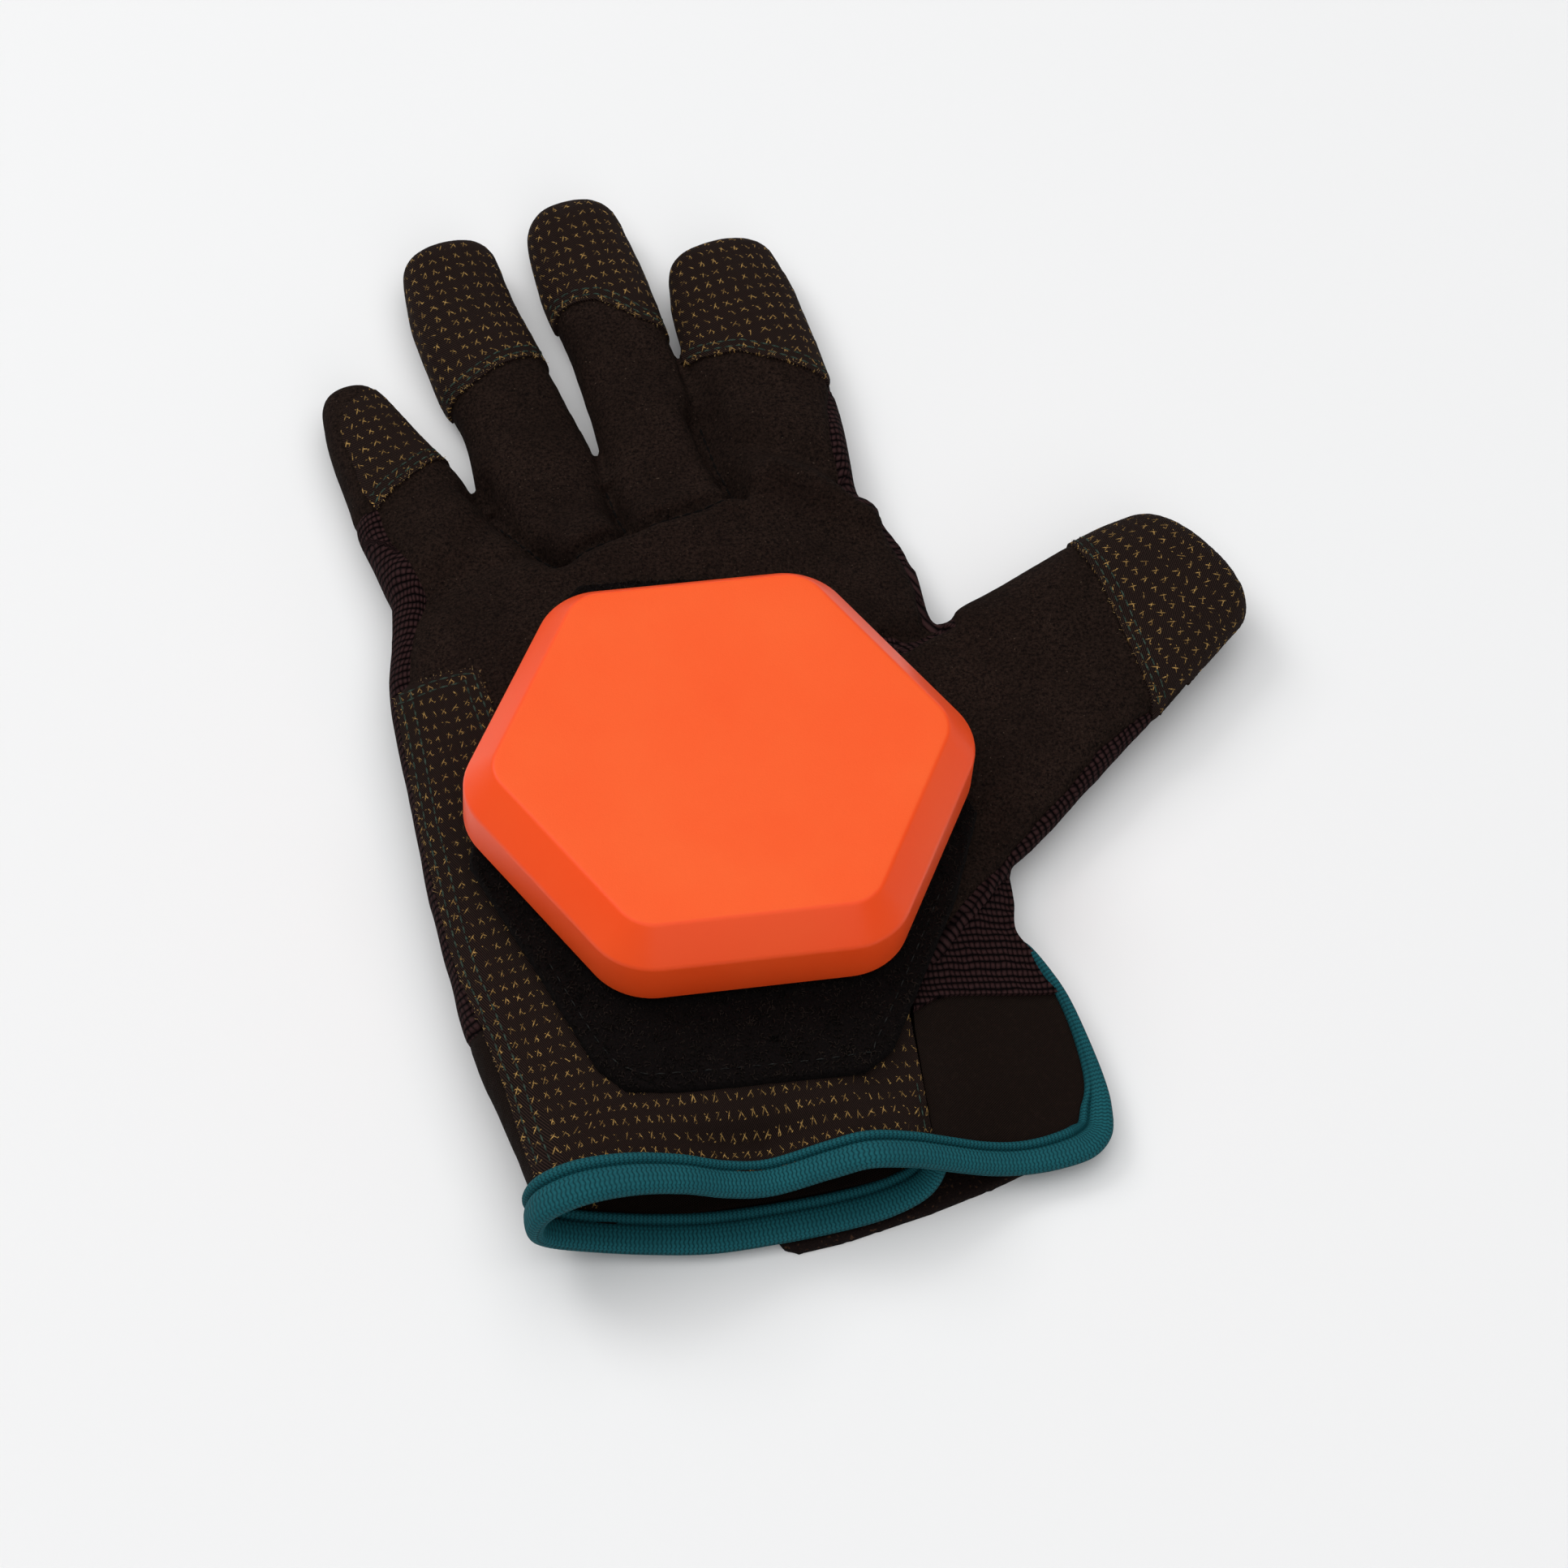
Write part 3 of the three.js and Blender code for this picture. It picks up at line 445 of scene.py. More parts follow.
CUTS = [
    lambda p: p[:, 1] - CUFF_Y,
    side_field,
    *(tip_field(name) for name in DIGITS),
    *(lambda p, o=outline: np.where(side_field(p) > -2, inside(o, p), -5) for outline in (HEEL, FINGER_PAIR)),
    lambda p: np.where(inside(FINGER_PAIR, p) > -1, inside(RING_SIDE, p), -5),
    lambda p: np.where(p[:, 2] > GUSSET_LOW - 2, inside(GUSSET, p), -5),
    lambda p: np.where(inside(GUSSET, p) > -2, p[:, 2] - GUSSET_LOW, 5),
    lambda p: np.where(p[:, 2] > GUSSET_LOW - 2, inside(SLIT, p), -5),
    lambda p: np.where(side_field(p) < 2, inside(THUMB_BACK, p), -5),
    lambda p: np.where(side_field(p) < 2, p[:, 1] - WRIST_BACK_TOP, 5),
]
for cut_line in CUTS:
    form, skin = split(form, skin, cut_line)
facing = normals_of(form, skin)

centre = form[skin].mean(1)
front = side_field(centre) > 0
panel_of = np.full(len(skin), "hand_back", dtype="U20")
panel_of[front] = "palm_panel"
panel_of[~front & (inside(THUMB_BACK, centre) > 0)] = "thumb_back"
panel_of[~front & (centre[:, 1] < WRIST_BACK_TOP)] = "wrist_back"
pair = front & (inside(FINGER_PAIR, centre) > 0)
panel_of[pair & (inside(RING_SIDE, centre) > 0)] = "ring_front"
panel_of[pair & (inside(RING_SIDE, centre) <= 0)] = "middle_front"
panel_of[front & (inside(HEEL, centre) > 0)] = "heel_panel"
panel_of[(inside(GUSSET, centre) > 0) & (centre[:, 2] > GUSSET_LOW)] = "thumb_gusset"
panel_of[(inside(SLIT, centre) > 0) & (centre[:, 2] > GUSSET_LOW)] = "open"
for number, name in enumerate(DIGITS):
    zone = tip_field(name)(centre) > 0
    panel_of[zone & front] = name + "_tip"
    panel_of[zone & ~front] = name + "_tip_back"
panel_of[centre[:, 1] < CUFF_Y] = "open"

# Sewn seams sink into the cloth, less on the glove's sides, and not where the thick cloth is laid on
ARAMID = ["heel_panel", *(name + "_tip" for name in DIGITS)]
SEAM_DEPTH = 0.85
SEAM_WIDTH = 1.15
edge_keys = np.sort(np.concatenate([skin[:, [0, 1]], skin[:, [1, 2]], skin[:, [2, 0]]]), 1)
edge_panels = np.concatenate([panel_of] * 3)
order = np.lexsort((edge_keys[:, 1], edge_keys[:, 0]))
edge_keys, edge_panels = edge_keys[order], edge_panels[order]
same = (edge_keys[1:] == edge_keys[:-1]).all(1)
differs = same & (edge_panels[1:] != edge_panels[:-1])
laid_on = np.isin(edge_panels[1:], ARAMID) ^ np.isin(edge_panels[:-1], ARAMID)
seam_points = np.unique(edge_keys[1:][differs & ~laid_on])
tree = kdtree.KDTree(len(seam_points))
for number, point in enumerate(form[seam_points]):
    tree.insert(point, number)
tree.balance()
gap = np.array([tree.find(p)[2] for p in form])
pucker = (1 + 0.45 * lumps(form, 4.0, 5)) * (0.35 + 0.65 * ease(facing[:, 2] * 2))
form = form - facing * (SEAM_DEPTH * pucker * np.exp(-((gap / SEAM_WIDTH) ** 2)))[:, None]
form[:, 2] = np.maximum(form[:, 2], ON_FLOOR)
facing = normals_of(form, skin)
skin_tree = BVHTree.FromPolygons(form.tolist(), skin[panel_of != "open"].tolist())
shown_panels = panel_of[panel_of != "open"]


# Suede: soft napped microfibre. The palm, the thumb's front and the fronts of the little finger and the
# forefinger are one piece. The two middle fingers' fronts are sewn to it with black thread along the
# finger base and between the fingers, and small pieces of it back the fingertips. The near-black thread
# between the fingers is laid almost without gaps and also serves as painted shade for the deep crevices
# there.
CLOTH = 1.4


def rim_of(triangles):
    """Outer edges of a patch, in the direction of their triangles."""
    edges = np.concatenate([triangles[:, [0, 1]], triangles[:, [1, 2]], triangles[:, [2, 0]]])
    _, first, count = np.unique(np.sort(edges, 1), axis=0, return_index=True, return_counts=True)
    return edges[first[count == 1]]


def shell(points, triangles, normals, lift, thick):
    """A closed wall of cloth from a patch: its outer side lifted, its inner side below it."""
    rim = rim_of(triangles)
    inner = len(points)
    sides = np.concatenate([np.stack([rim[:, 1], rim[:, 0], rim[:, 0] + inner], 1),
                            np.stack([rim[:, 1], rim[:, 0] + inner, rim[:, 1] + inner], 1)])
    both = np.concatenate([points + normals * lift, points - normals * thick])
    return both, np.concatenate([triangles, triangles[:, ::-1] + inner, sides])


def patch_of(name):
    """Points, triangles and normals of one panel."""
    chosen = skin[panel_of == name]
    used, where = np.unique(chosen, return_inverse=True)
    return form[used], where.reshape(-1, 3), facing[used]


def cloth_map(points, back, bodies):
    """Across and along the cloth in millimetres, unrolled round the hand and the digits."""
    # Each plan: middle line, place along it, half width, side, height of the middle, depth inside
    rows = np.array([between(HAND, t) for t in np.linspace(0, 1, 80)])
    y = points[:, 1]
    row = np.stack([np.interp(y, rows[:, 0], rows[:, k]) for k in (1, 2, 3)], 1)
    plans = [(row[:, 0] / 2 + row[:, 1] / 2, y, row[:, 1] / 2 - row[:, 0] / 2,
              points[:, 0] - row[:, 0] / 2 - row[:, 1] / 2, np.full(len(points), 9.0), 80 - y)]
    for name, line in CENTRES.items():
        gaps = np.linalg.norm(points[:, None, :2] - line[None, :, :2], axis=2)
        at = gaps.argmin(1)
        tangent = np.gradient(line[:, :2], axis=0)
        tangent /= np.linalg.norm(tangent, axis=1)[:, None]
        along = np.concatenate([[0], np.cumsum(np.linalg.norm(np.diff(line[:, :2], axis=0), axis=1))])
        away = points[:, :2] - line[at, :2]
        side = away[:, 0] * tangent[at, 1] - away[:, 1] * tangent[at, 0]
        ahead = along[at] + (away * tangent[at]).sum(1)
        middle = (line[at, 3] + line[at, 4]) / 2
        plans.append((np.full(len(points), line[0, 0]), line[0, 1] + ahead, line[at, 2] / 2, side, middle,
                      line[at, 2] / 2 - gaps.min(1)))
    names = ["hand", *CENTRES]
    depth = np.array([plan[5] if name in bodies else plan[5] * 0 - 999 for name, plan in zip(names, plans)])
    chosen = depth.argmax(0)
    base, along, half, side, middle = (np.array([plan[k] for plan in plans])[chosen, np.arange(len(points))]
                                       for k in range(5))
    rise = (middle - points[:, 2]) if back else (points[:, 2] - middle)
    flat = np.maximum(half - 7, 1)
    over = np.maximum(np.abs(side) - flat, 0)
    bend = 7 * np.arctan2(over, np.maximum(rise, -6) + 1e-6)
    return np.stack([base + np.sign(side) * (np.minimum(np.abs(side), flat) + bend), along], 1)


def dress(piece, material, slot, *nodes, cloth=None):
    """Gives a piece its material, its map of the cloth, and its place in the frame."""
    piece.data.materials.append(material)
    piece.data.polygons.foreach_set("use_smooth", [True] * len(piece.data.polygons))
    if cloth is not None:
        layer = piece.data.uv_layers.new(name="cloth")
        corners = np.zeros(len(piece.data.loops), int)
        piece.data.loops.foreach_get("vertex_index", corners)
        layer.data.foreach_set("uv", (np.asarray(cloth)[corners] * 0.001).astype(np.float32).ravel())
    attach(piece, "root")
    if nodes:
        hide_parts(*nodes)
    return piece


def crisp(piece, degrees=42):
    """Keeps the cut edges of cloth sharp while its faces stay smooth."""
    piece.data.set_sharp_from_angle(angle=math.radians(degrees))
    return piece


class Finish:
    """A material and its nodes. Plain values go on the shader's own sockets."""

    def __init__(self, name, **sockets):
        self.material = bpy.data.materials.new(name)
        self.material.use_nodes = True
        self.tree = self.material.node_tree
        self.shader = self.tree.nodes["Principled BSDF"]
        for key, value in sockets.items():
            self.shader.inputs[key.replace("_", " ").title().replace("Ior", "IOR")].default_value = value

    def add(self, kind, inputs=None, output=0, **settings):
        node = self.tree.nodes.new("ShaderNode" + kind)
        for key, value in settings.items():
            setattr(node, key, value)
        for key, value in (inputs or {}).items():
            if isinstance(value, bpy.types.NodeSocket):
                self.tree.links.new(value, node.inputs[key])
            else:
                node.inputs[key].default_value = value
        return node.outputs[output]

    def sum(self, how, a, b=0.0, c=0.0):
        return self.add("Math", {0: a, 1: b, 2: c}, operation=how)

    def place(self):
        return self.add("TexCoord", output=3)

    def cloth(self):
        """Across and along the cloth in millimetres."""
        mapped = self.add("UVMap", uv_map="cloth")
        mapped = self.add("VectorMath", {0: mapped, "Scale": 1000.0}, operation="SCALE")
        parts = self.tree.nodes.new("ShaderNodeSeparateXYZ")
        self.tree.links.new(mapped, parts.inputs[0])
        return parts.outputs[0], parts.outputs[1], mapped

    def grain(self, size, detail=3.0, roughness=0.6, where=None):
        """Noise whose spots are about size millimetres."""
        scale = 1000 / size if where is None else 1 / size
        return self.add("TexNoise", {"Vector": where or self.place(), "Scale": scale, "Detail": detail,
                                     "Roughness": roughness})

    def remap(self, value, low, high, to_low=0.0, to_high=1.0):
        return self.add("MapRange", {"Value": value, "From Min": low, "From Max": high, "To Min": to_low,
                                     "To Max": to_high})

    def mix(self, share, a, b):
        node = self.tree.nodes.new("ShaderNodeMix")
        node.data_type = "RGBA"
        for key, value in ((0, share), (6, a), (7, b)):
            if isinstance(value, bpy.types.NodeSocket):
                self.tree.links.new(value, node.inputs[key])
            else:
                node.inputs[key].default_value = value
        return node.outputs[2]

    def colour(self, value):
        self.tree.links.new(value, self.shader.inputs["Base Color"])

    def roughness(self, value):
        self.tree.links.new(value, self.shader.inputs["Roughness"])

    def relief(self, height, depth, strength=1.0):
        """Bump from a height of 0 to 1 that stands for depth millimetres."""
        bump = self.add("Bump", {"Height": height, "Distance": depth * 0.001, "Strength": strength})
        self.tree.links.new(bump, self.shader.inputs["Normal"])


def paint(red, green, blue):
    """A colour as a picture shows it, 0 to 255, in the shader's own numbers."""
    parts = [c / 255 for c in (red, green, blue)]
    return (*(c / 12.92 if c <= 0.04045 else ((c + 0.055) / 1.055) ** 2.4 for c in parts), 1.0)


def suede_finish():
    made = Finish("suede", roughness=0.95, specular_ior_level=0.04)
    nap = made.grain(0.6, 5, 0.8)
    patches = made.grain(12, 3, 0.55)
    specks = made.remap(made.grain(0.5, 1, 0.4), 0.75, 0.79)
    base = made.mix(made.remap(nap, 0.38, 0.62), paint(12, 8, 7), paint(50, 37, 31))
    base = made.mix(made.remap(patches, 0.35, 0.75, 0, 0.5), base, paint(21, 14, 11))
    made.colour(made.mix(made.sum("MULTIPLY", specks, 0.5), base, paint(100, 84, 72)))
    made.relief(made.sum("ADD", nap, made.sum("MULTIPLY", made.grain(2.2), 0.5)), 0.4, 1.0)
    return made.material


STITCH = 1.9
STITCH_GAP = 0.4
THREAD = 0.19


def thread_finish(name, dark, light, width=0.5):
    made = Finish(name, roughness=0.8, specular_ior_level=0.08)
    made.colour(made.mix(made.remap(made.grain(width, 2, 0.5), 0.3, 0.7), dark, light))
    made.relief(made.grain(0.2, 2, 0.5), 0.08, 0.8)
    return made.material


def on_glove(line, lift, panel):
    """Points every 0.2 mm along a line seen from above, laid on one panel's upper side, or on any."""
    line = np.array(line, float)
    length = np.concatenate([[0], np.cumsum(np.linalg.norm(np.diff(line, axis=0), axis=1))])
    laid = []
    for s in np.arange(0, length[-1], 0.2):
        x, y = (np.interp(s, length, line[:, k]) for k in range(2))
        hit, normal, face, _ = skin_tree.ray_cast(Vector((x, y, 60)), Vector((0, 0, -1)))
        if hit is not None and normal.z > 0.12 and panel in (None, shown_panels[face]):
            laid.append(np.array(hit + normal * lift))
    return np.array(laid)


def thread_row(path, stitch=STITCH, space=STITCH_GAP, radius=THREAD, lift=0.16):
    """Points and faces of stitches one after another along a laid path."""
    steps = np.linalg.norm(np.diff(path, axis=0), axis=1)
    length = np.concatenate([[0], np.cumsum(steps)])
    points, faces = [], []
    start = space
    ring = [(math.cos(a), math.sin(a)) for a in np.linspace(0, 2 * math.pi, 6, endpoint=False)]
    while start + stitch < length[-1]:
        shares = np.linspace(0, 1, 6)
        spine = np.stack([np.interp(start + shares * stitch, length, path[:, k]) for k in range(3)], 1)
        ahead = spine[-1] - spine[0]
        reach = np.linalg.norm(ahead)
        if 0.5 * stitch < reach < 1.2 * stitch:
            ahead = ahead / reach
            side = np.cross(ahead, [0, 0, 1])
            side = side / max(np.linalg.norm(side), 1e-6)
            up = np.cross(side, ahead)
            rings = []
            for s, point in zip(shares, spine):
                arch = math.sin(math.pi * s)
                middle = point + up * (lift * arch - radius * 0.7)
                wide = radius * (0.55 + 0.45 * arch)
                rings.append([middle + (side * c + up * d) * wide for c, d in ring])
            made, made_faces = loft(rings)
            faces += [tuple(i + len(points) for i in face) for face in made_faces]
            points += list(made)
        start += stitch + space
    return points, faces


def sewn_rows(name, lines, lift, material, slot, panel, **sizes):
    """One piece with all the stitches of several rows."""
    points, faces = [], []
    for line in lines:
        path = on_glove(line, lift, panel)
        if len(path) > 12:
            made, made_faces = thread_row(path, **sizes)
            faces += [tuple(i + len(points) for i in face) for face in made_faces]
            points += made
    return dress(object_from(name, points, faces), material, slot)


SUEDE = suede_finish()
SUEDE_PANELS = ["palm_panel", "ring_front", "middle_front", *(name + "_tip_back" for name in DIGITS)]
for name in SUEDE_PANELS:
    points, triangles, normals = patch_of(name)
    piece = object_from(name + "_suede", *shell(points, triangles, normals, 0.0, CLOTH))
    crisp(dress(piece, SUEDE, "suede", name))
# Besides marking the real seams, the near-black, almost gapless thread in the valleys between the fingers is
# painted shade: a dark line for the crevices.
SEAM_AND_CREVICE_SHADE_THREAD = thread_finish("black seam thread and crevice shade", paint(4, 3, 3), paint(12, 9, 8))
seams_and_crevice_shade_lines = [FINGER_BASE, PINKY_RING[1:], RING_MIDDLE[1:], MIDDLE_INDEX[1:]]
sewn_rows("finger_seam_and_crevice_shade_thread", seams_and_crevice_shade_lines, 0.02, SEAM_AND_CREVICE_SHADE_THREAD, "suede", None,
          stitch=2.4, space=0.02, radius=0.28)

# Rib knit: the stretchy back of the hand and fingers, the back of the thumb, and the gusset that
# runs along the thumb's lower edge and on into a flap above the wrist.
FLAP = [  # y, inner and outer edge, and height at the inner edge, middle and outer edge
    (-19, 48, 52.3, 9.8, 9.2, 8.2),
    (-25, 41, 51.9, 12.2, 11.2, 8.6),
    (-32, 35, 50.8, 13.8, 12.6, 9.9),
    (-38, 30, 53.6, 15.2, 12.8, 9.5),
    (-44.8, 27.8, 55.5, 16.2, 12.4, 8.6),
    (-60, 26.9, 58.4, 15.2, 9, 6.4),
    (-68, 26.7, 58, 13.4, 6.4, 5),
    (-76, 26.6, 54.5, 11.4, 4.8, 4.2),
]
FLAP_SEAM = 4 / 7  # share of the flap's length where the knit ends and the smooth cloth starts
WALE = 1.5  # pitch of the knit's columns of stitches
COURSE = 1.0  # pitch of its rows


def knit_finish():
    made = Finish("rib knit", roughness=0.9, specular_ior_level=0.04)
    across, along, where = made.cloth()
    sway = made.sum("MULTIPLY", made.sum("SUBTRACT", made.grain(5, 2, 0.5, where), 0.5), 1.6)
    across = made.sum("ADD", across, sway)
    wales = made.sum("ABSOLUTE", made.sum("SINE", made.sum("MULTIPLY", across, math.pi / WALE)))
    courses = made.sum("ABSOLUTE", made.sum("SINE", made.sum("MULTIPLY", made.sum("ADD", along, sway),
                                                             math.pi / COURSE)))
    wales = made.sum("POWER", wales, 0.6)
    courses = made.sum("POWER", courses, 0.6)
    knit = made.sum("MULTIPLY", wales, made.sum("ADD", made.sum("MULTIPLY", courses, 0.6), 0.4))
    fuzz = made.grain(0.4, 3, 0.7)
    base = made.mix(made.remap(knit, 0.35, 0.95), paint(9, 4, 5), paint(56, 37, 37))
    made.colour(made.mix(made.remap(fuzz, 0.45, 0.75, 0, 0.3), base, paint(30, 18, 18)))
    made.relief(made.sum("ADD", knit, made.sum("MULTIPLY", fuzz, 0.2)), 0.7, 1.0)
    return made.material


def flap_grid(low, high, across_steps, along_steps):
    """Points of the flap between two shares of its length, row by row; its seam dips at the slit."""
    rows = []
    for t in np.linspace(low, high, along_steps + 1):
        y, inner, outer, inner_z, middle_z, outer_z = between(FLAP, t)
        rows.append([(inner + (outer - inner) * s, y, between([inner_z, middle_z, outer_z], s))
                     for s in np.linspace(0, 1, across_steps + 1)])
    rows = np.array(rows)
    dip = np.exp(-(((rows[..., 0] - 26) / 5.5) ** 2) - ((rows[..., 1] + 44.8) / 6) ** 2)
    rows[..., 1] -= 3.6 * dip
    return rows


def grid_patch(rows):
    """Points, triangles and normals of a grid whose rows run across."""
    count, size = rows.shape[:2]
    triangles = []
    for i in range(count - 1):
        for j in range(size - 1):
            a = i * size + j
            triangles += [(a, a + size + 1, a + 1), (a, a + size, a + size + 1)]
    points = rows.reshape(-1, 3)
    triangles = np.array(triangles)
    normals = normals_of(points, triangles)
    if normals[:, 2].mean() < 0:
        triangles, normals = triangles[:, ::-1], -normals
    return points, triangles, normals


KNIT = knit_finish()
for name, bodies in (("hand_back", ["hand", "pinky", "ring", "middle", "index"]), ("thumb_back", ["thumb"])):
    points, triangles, normals = patch_of(name)
    mapped = cloth_map(points, True, bodies)[:, ::-1]
    piece = object_from(name + "_knit", *shell(points, triangles, normals, 0.0, CLOTH))
    crisp(dress(piece, KNIT, "rib_knit", name, cloth=np.concatenate([mapped, mapped])))

def finer(points, triangles, normals, mapped, rounds):
    """The patch with each triangle cut in four, once or more."""
    for _ in range(rounds):
        sides = np.concatenate([triangles[:, [0, 1]], triangles[:, [1, 2]], triangles[:, [2, 0]]])
        ends, where = np.unique(np.sort(sides, 1), axis=0, return_inverse=True)
        ab, bc, ca = (where.ravel() + len(points)).reshape(3, -1)
        a, b, c = triangles.T
        quarters = ((a, ab, ca), (ab, b, bc), (ca, bc, c), (ab, bc, ca))
        triangles = np.concatenate([np.stack(quarter, 1) for quarter in quarters])
        points, normals, mapped = (np.concatenate([v, v[ends].mean(1)]) for v in (points, normals, mapped))
    return points, triangles, normals, mapped


points, triangles, normals = patch_of("thumb_gusset")
mapped = cloth_map(points, False, ["thumb"])[:, ::-1]
points, triangles, normals, mapped = finer(points, triangles, normals, mapped, 1)
wall, wall_faces = shell(points, triangles, normals, 0.15, CLOTH)
knit_flap = flap_grid(0, FLAP_SEAM + 0.012, 96, 88)
fold = np.linspace(0, 1, len(knit_flap))[:, None]
knit_flap[..., 2] += 0.75 * np.exp(-(((fold - 1) / 0.06) ** 2))
points, triangles, normals = grid_patch(knit_flap)
lower, lower_faces = shell(points, triangles, normals, 0.3, CLOTH - 0.3)
piece = object_from("thumb_gusset_knit", np.concatenate([wall, lower]),
                    np.concatenate([wall_faces, lower_faces + len(wall)]))
mapped = np.concatenate([mapped, mapped, points[:, 1::-1], points[:, 1::-1]])
crisp(dress(piece, KNIT, "rib_knit", "thumb_gusset", cloth=mapped))

# Aramid cloth: thick twill with rows of tan flecks, laid over the fingertips and along the heel of
# the hand. Its edges are cut raw and held by double rows of dark green topstitching.
ARAMID_LIFT = 0.6
ROW_PITCH = 3.05
FLECK_PITCH = 2.6
HEEL_STRETCH = (1.24, 1.0)  # the heel's cloth is woven closer across than the fingertips'
# One fleck of bare aramid yarn: across and along the cell, half length, half width, degrees, wander
FLECK_STROKES = [(-0.16, 0.05, 0.78, 0.13, 60, 0.16), (0.24, -0.05, 0.58, 0.12, -50, 0.2),
                 (0.5, -0.6, 0.26, 0.12, 30, 0.3), (-0.55, 0.5, 0.22, 0.1, -20, 0.3)]


def aramid_finish():
    made = Finish("aramid twill", roughness=0.85, specular_ior_level=0.05)
    across, along, where = made.cloth()
    drift = made.sum("MULTIPLY", made.sum("SUBTRACT", made.grain(7, 2, 0.5, where), 0.5), 1.8)
    fine = made.grain(0.45, 2, 0.6, where)
    twill = made.sum("SINE", made.sum("MULTIPLY", made.sum("ADD", across, made.sum("MULTIPLY", along, 0.6)),
                                      2 * math.pi / 0.42))
    column = made.sum("DIVIDE", made.sum("ADD", across, drift), FLECK_PITCH)
    row = made.sum("DIVIDE", made.sum("ADD", along, drift), ROW_PITCH)
    number = made.add("CombineXYZ", {0: made.sum("FLOOR", column), 1: made.sum("FLOOR", row)})
    x = made.sum("MULTIPLY", made.sum("SUBTRACT", made.sum("FRACT", column), 0.5), FLECK_PITCH)
    y = made.sum("MULTIPLY", made.sum("SUBTRACT", made.sum("FRACT", row), 0.5), ROW_PITCH)
    fleck = None
    for step, (right, up, long, thin, angle, wander) in enumerate(FLECK_STROKES):
        moved = made.add("VectorMath", {0: number, 1: (step * 17.3, step * 5.1, 0)}, operation="ADD")
        draw = made.tree.nodes.new("ShaderNodeSeparateColor")
        made.tree.links.new(made.add("TexWhiteNoise", {"Vector": moved}, output=1), draw.inputs[0])
        shift_x = made.sum("MULTIPLY_ADD", draw.outputs[0], wander * 2, right - wander)
        shift_y = made.sum("MULTIPLY_ADD", draw.outputs[1], wander * 0.9, up - wander * 0.45)
        turned = made.add("CombineXYZ", {0: made.sum("SUBTRACT", x, shift_x),
                                         1: made.sum("SUBTRACT", y, shift_y)})
        slant = made.sum("MULTIPLY_ADD", draw.outputs[2], math.radians(-40), math.radians(20 - angle))
        turned = made.add("VectorRotate", {"Vector": turned, "Angle": slant}, rotation_type="Z_AXIS")
        squeezed = made.add("VectorMath", {0: turned, 1: (1 / long, 1 / thin, 0)}, operation="MULTIPLY")
        reach = made.add("VectorMath", {0: squeezed}, output=1, operation="LENGTH")
        shows = made.remap(draw.outputs[1], 0.08, 0.3)
        stroke = made.sum("MULTIPLY", made.remap(reach, 0.7, 1.15, 1, 0), shows)
        fleck = stroke if fleck is None else made.sum("MAXIMUM", fleck, stroke)
    fleck = made.sum("MULTIPLY", fleck, made.remap(fine, 0.3, 0.55, 0.35, 1))
    weave = made.sum("MULTIPLY_ADD", twill, 0.5, 0.5)
    ground = made.mix(weave, paint(20, 14, 12), paint(54, 40, 35))
    bare = made.remap(made.grain(1.1, 2, 0.5, where), 0.35, 0.65)
    tan = made.mix(bare, paint(128, 98, 58), paint(220, 176, 104))
    made.colour(made.mix(fleck, ground, tan))
    made.relief(made.sum("ADD", weave, made.sum("MULTIPLY", fleck, 1.4)), 0.28, 0.9)
    return made.material


def moved_line(line, distance):
    """A line seen from above, moved to its left by a distance."""
    line = np.array(line, float)
    ahead = np.gradient(line, axis=0)
    ahead /= np.linalg.norm(ahead, axis=1)[:, None]
    return line + np.stack([-ahead[:, 1], ahead[:, 0]], 1) * distance


def frayed(name, path, material, count, reach, seed):
    """Loose fibre ends that stand out of a raw edge."""
    draw = random.Random(seed)
    points, faces = [], []
    for _ in range(count):
        at = draw.randrange(len(path) - 1)
        way = np.array([draw.uniform(-1, 1), draw.uniform(-1, 1), draw.uniform(-0.1, 0.5)])
        way = way / np.linalg.norm(way) * draw.uniform(0.4, 1.0) * reach
        curl = np.array([draw.uniform(-0.3, 0.3), draw.uniform(-0.3, 0.3), draw.uniform(0.0, 0.2)])
        side = np.cross(way, [0, 0, 1])
        side = side / max(np.linalg.norm(side), 1e-6)
        up = np.array([0, 0, 1.0])
        rings = []
        for s in (0, 0.35, 0.7, 1):
            middle = path[at] + way * s + curl * s * s
            wide = 0.075 * (1 - 0.6 * s)
            rings.append([middle + side * wide, middle - side * wide * 0.5 + up * wide * 0.87,
                          middle - side * wide * 0.5 - up * wide * 0.87])
        made, made_faces = loft(rings)
        faces += [tuple(i + len(points) for i in face) for face in made_faces]
        points += list(made)
    return dress(object_from(name, points, faces), material, "aramid_cloth")


